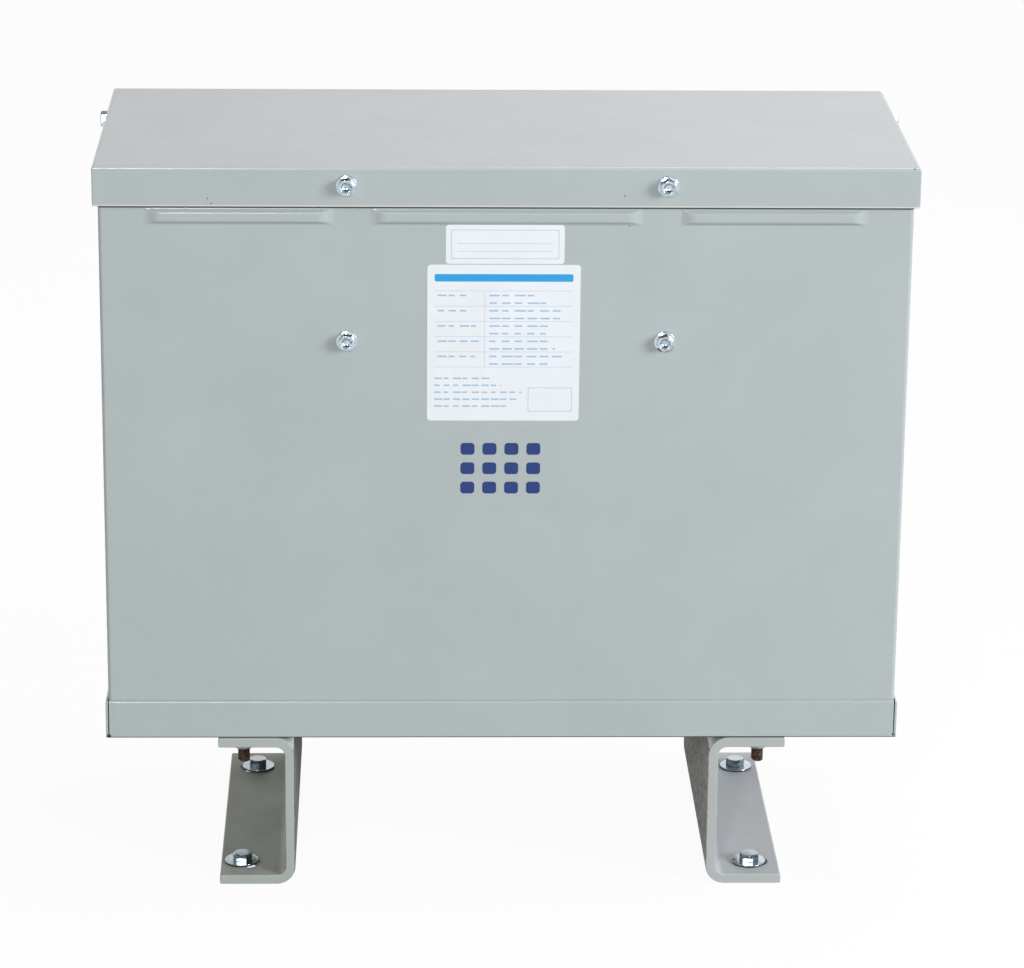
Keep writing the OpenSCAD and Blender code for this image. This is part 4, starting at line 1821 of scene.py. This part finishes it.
@dataclass
class Studio:
    """A plain pale floor, soft lights and a white surround."""

    target: Point = (0.0, 0.0, 0.28)
    floor_side: float = 40.0
    floor_lit: Colour = (0.33, 0.33, 0.32, 1.0)
    floor_seen: Colour = WHITE
    floor_lift: float = 0.94
    wall: float = 0.6
    right_wall: float = 1.1
    wall_span: tuple[float, float] = (-0.15, 0.2)
    wall_foot: tuple[float, float] = (0.1, 0.25)
    ceiling: float = 0.12
    ceiling_span: tuple[float, float] = (0.45, 0.65)
    zenith: float = 0.4
    zenith_span: tuple[float, float] = (0.3, 0.8)
    fill: float = 0.665
    fill_colour: Colour = (1.0, 1.0, 0.96, 1.0)
    dark_side: float = 0.72
    side_span: tuple[float, float] = (-0.7, 0.5)
    lights: tuple[SoftBox, ...] = (
        SoftBox("key_light", (3.2, -2.05, 1.4), 1.45, 109.0, (0.96, 0.99, 1.06)),
        SoftBox("top_light", (0.5, 0.4, 2.6), 1.2, 24.0, (1.1, 0.955, 1.02)),
        SoftBox("front_light", (-0.44, -2.9, 1.65), 0.3, 22.0),
        SoftBox("left_light", (-0.95, -2.85, 1.3), 0.3, 5.0),
    )

    @staticmethod
    def _seen(bench: NodeBench) -> Socket:
        """Adds the mask of rays that show a background: to the eye, to metal and through film.

        Args:
            bench: The node tree.

        Returns:
            The mask.
        """
        path = bench.add("ShaderNodeLightPath")
        both = bench.math("MAXIMUM", path.outputs["Is Camera Ray"], path.outputs["Is Glossy Ray"])
        return bench.math("MAXIMUM", both, path.outputs["Is Transmission Ray"])

    def _floor(self) -> None:
        """Makes the floor, white to the eye and grey to the light, with the object's shadow."""
        floor = new_shape(bpy.ops.mesh.primitive_plane_add, size=self.floor_side)
        floor.name = "studio_floor"
        material = bpy.data.materials.new("pale_floor")
        material.use_nodes = True
        bench = NodeBench(material.node_tree)
        seen = self._seen(bench)
        colour = bench.blend(seen, self.floor_lit, self.floor_seen)
        matt = bench.add("ShaderNodeBsdfDiffuse", {"Color": colour})
        glow = bench.add("ShaderNodeEmission", {"Color": WHITE, "Strength": 1.0})
        lift = bench.math("MULTIPLY", seen, self.floor_lift)
        mixed = bench.add("ShaderNodeMixShader", {0: lift, 1: matt.outputs[0], 2: glow.outputs[0]})
        bench.add("ShaderNodeOutputMaterial", {"Surface": mixed.outputs[0]})
        floor.data.materials.append(material)

    def _surround(self) -> None:
        """Makes the world: white at the horizon under a darker ceiling, and dimmer to the light."""
        world = bpy.data.worlds.new("studio_surround")
        bpy.context.scene.world = world
        world.use_nodes = True
        bench = NodeBench(world.node_tree)
        heading = bench.add("ShaderNodeTexCoord").outputs["Generated"]
        parts = bench.add("ShaderNodeSeparateXYZ", {0: heading}).outputs
        across = bench.ramp(parts["X"], *self.side_span, self.dark_side * self.fill, self.fill)
        fill = bench.math("MULTIPLY", across, bench.ramp(parts["Z"], *self.zenith_span, 1.0, self.zenith))
        wall = bench.ramp(parts["X"], *self.wall_span, self.wall, self.right_wall)
        shown = bench.ramp(parts["Z"], *self.wall_foot, 1.0, wall)
        shown = bench.ramp(parts["Z"], *self.ceiling_span, shown, self.ceiling)
        seen = self._seen(bench)
        strength = bench.math("MULTIPLY_ADD", seen, bench.math("SUBTRACT", shown, fill), fill)
        colour = bench.blend(seen, self.fill_colour, WHITE)
        sky = bench.add("ShaderNodeBackground", {"Color": colour, "Strength": strength})
        bench.add("ShaderNodeOutputWorld", {"Surface": sky.outputs[0]})

    def build(self) -> None:
        """Makes the floor, the surround and the lights."""
        bpy.context.scene.view_settings.view_transform = "Standard"
        self._floor()
        self._surround()
        for light in self.lights:
            aim = (Vector(self.target) - Vector(light.place)).to_track_quat("-Z", "Y").to_euler()
            lamp = new_shape(bpy.ops.object.light_add, type="AREA", location=light.place, rotation=aim)
            lamp.name = light.name
            lamp.data.size = light.side
            lamp.data.energy = light.watts
            lamp.data.color = light.colour
            lamp.visible_camera = False


def main() -> None:
    """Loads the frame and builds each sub-assembly in order."""
    logging.basicConfig(level=logging.INFO, format="%(name)s %(message)s")
    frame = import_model()
    nodes = frame["nodes"]
    PhotoCamera().build()
    Studio().build()
    effects = Effects()
    enclosure = Enclosure()
    enclosure.build(nodes, effects)
    ChannelFeet().build(nodes, effects)
    StudSet().build(nodes, effects)
    HeadScrews().build(nodes, effects)
    AnchorSet().build(effects)
    LabelSet().build(enclosure.front(), effects)


if __name__ == "__main__":
    main()
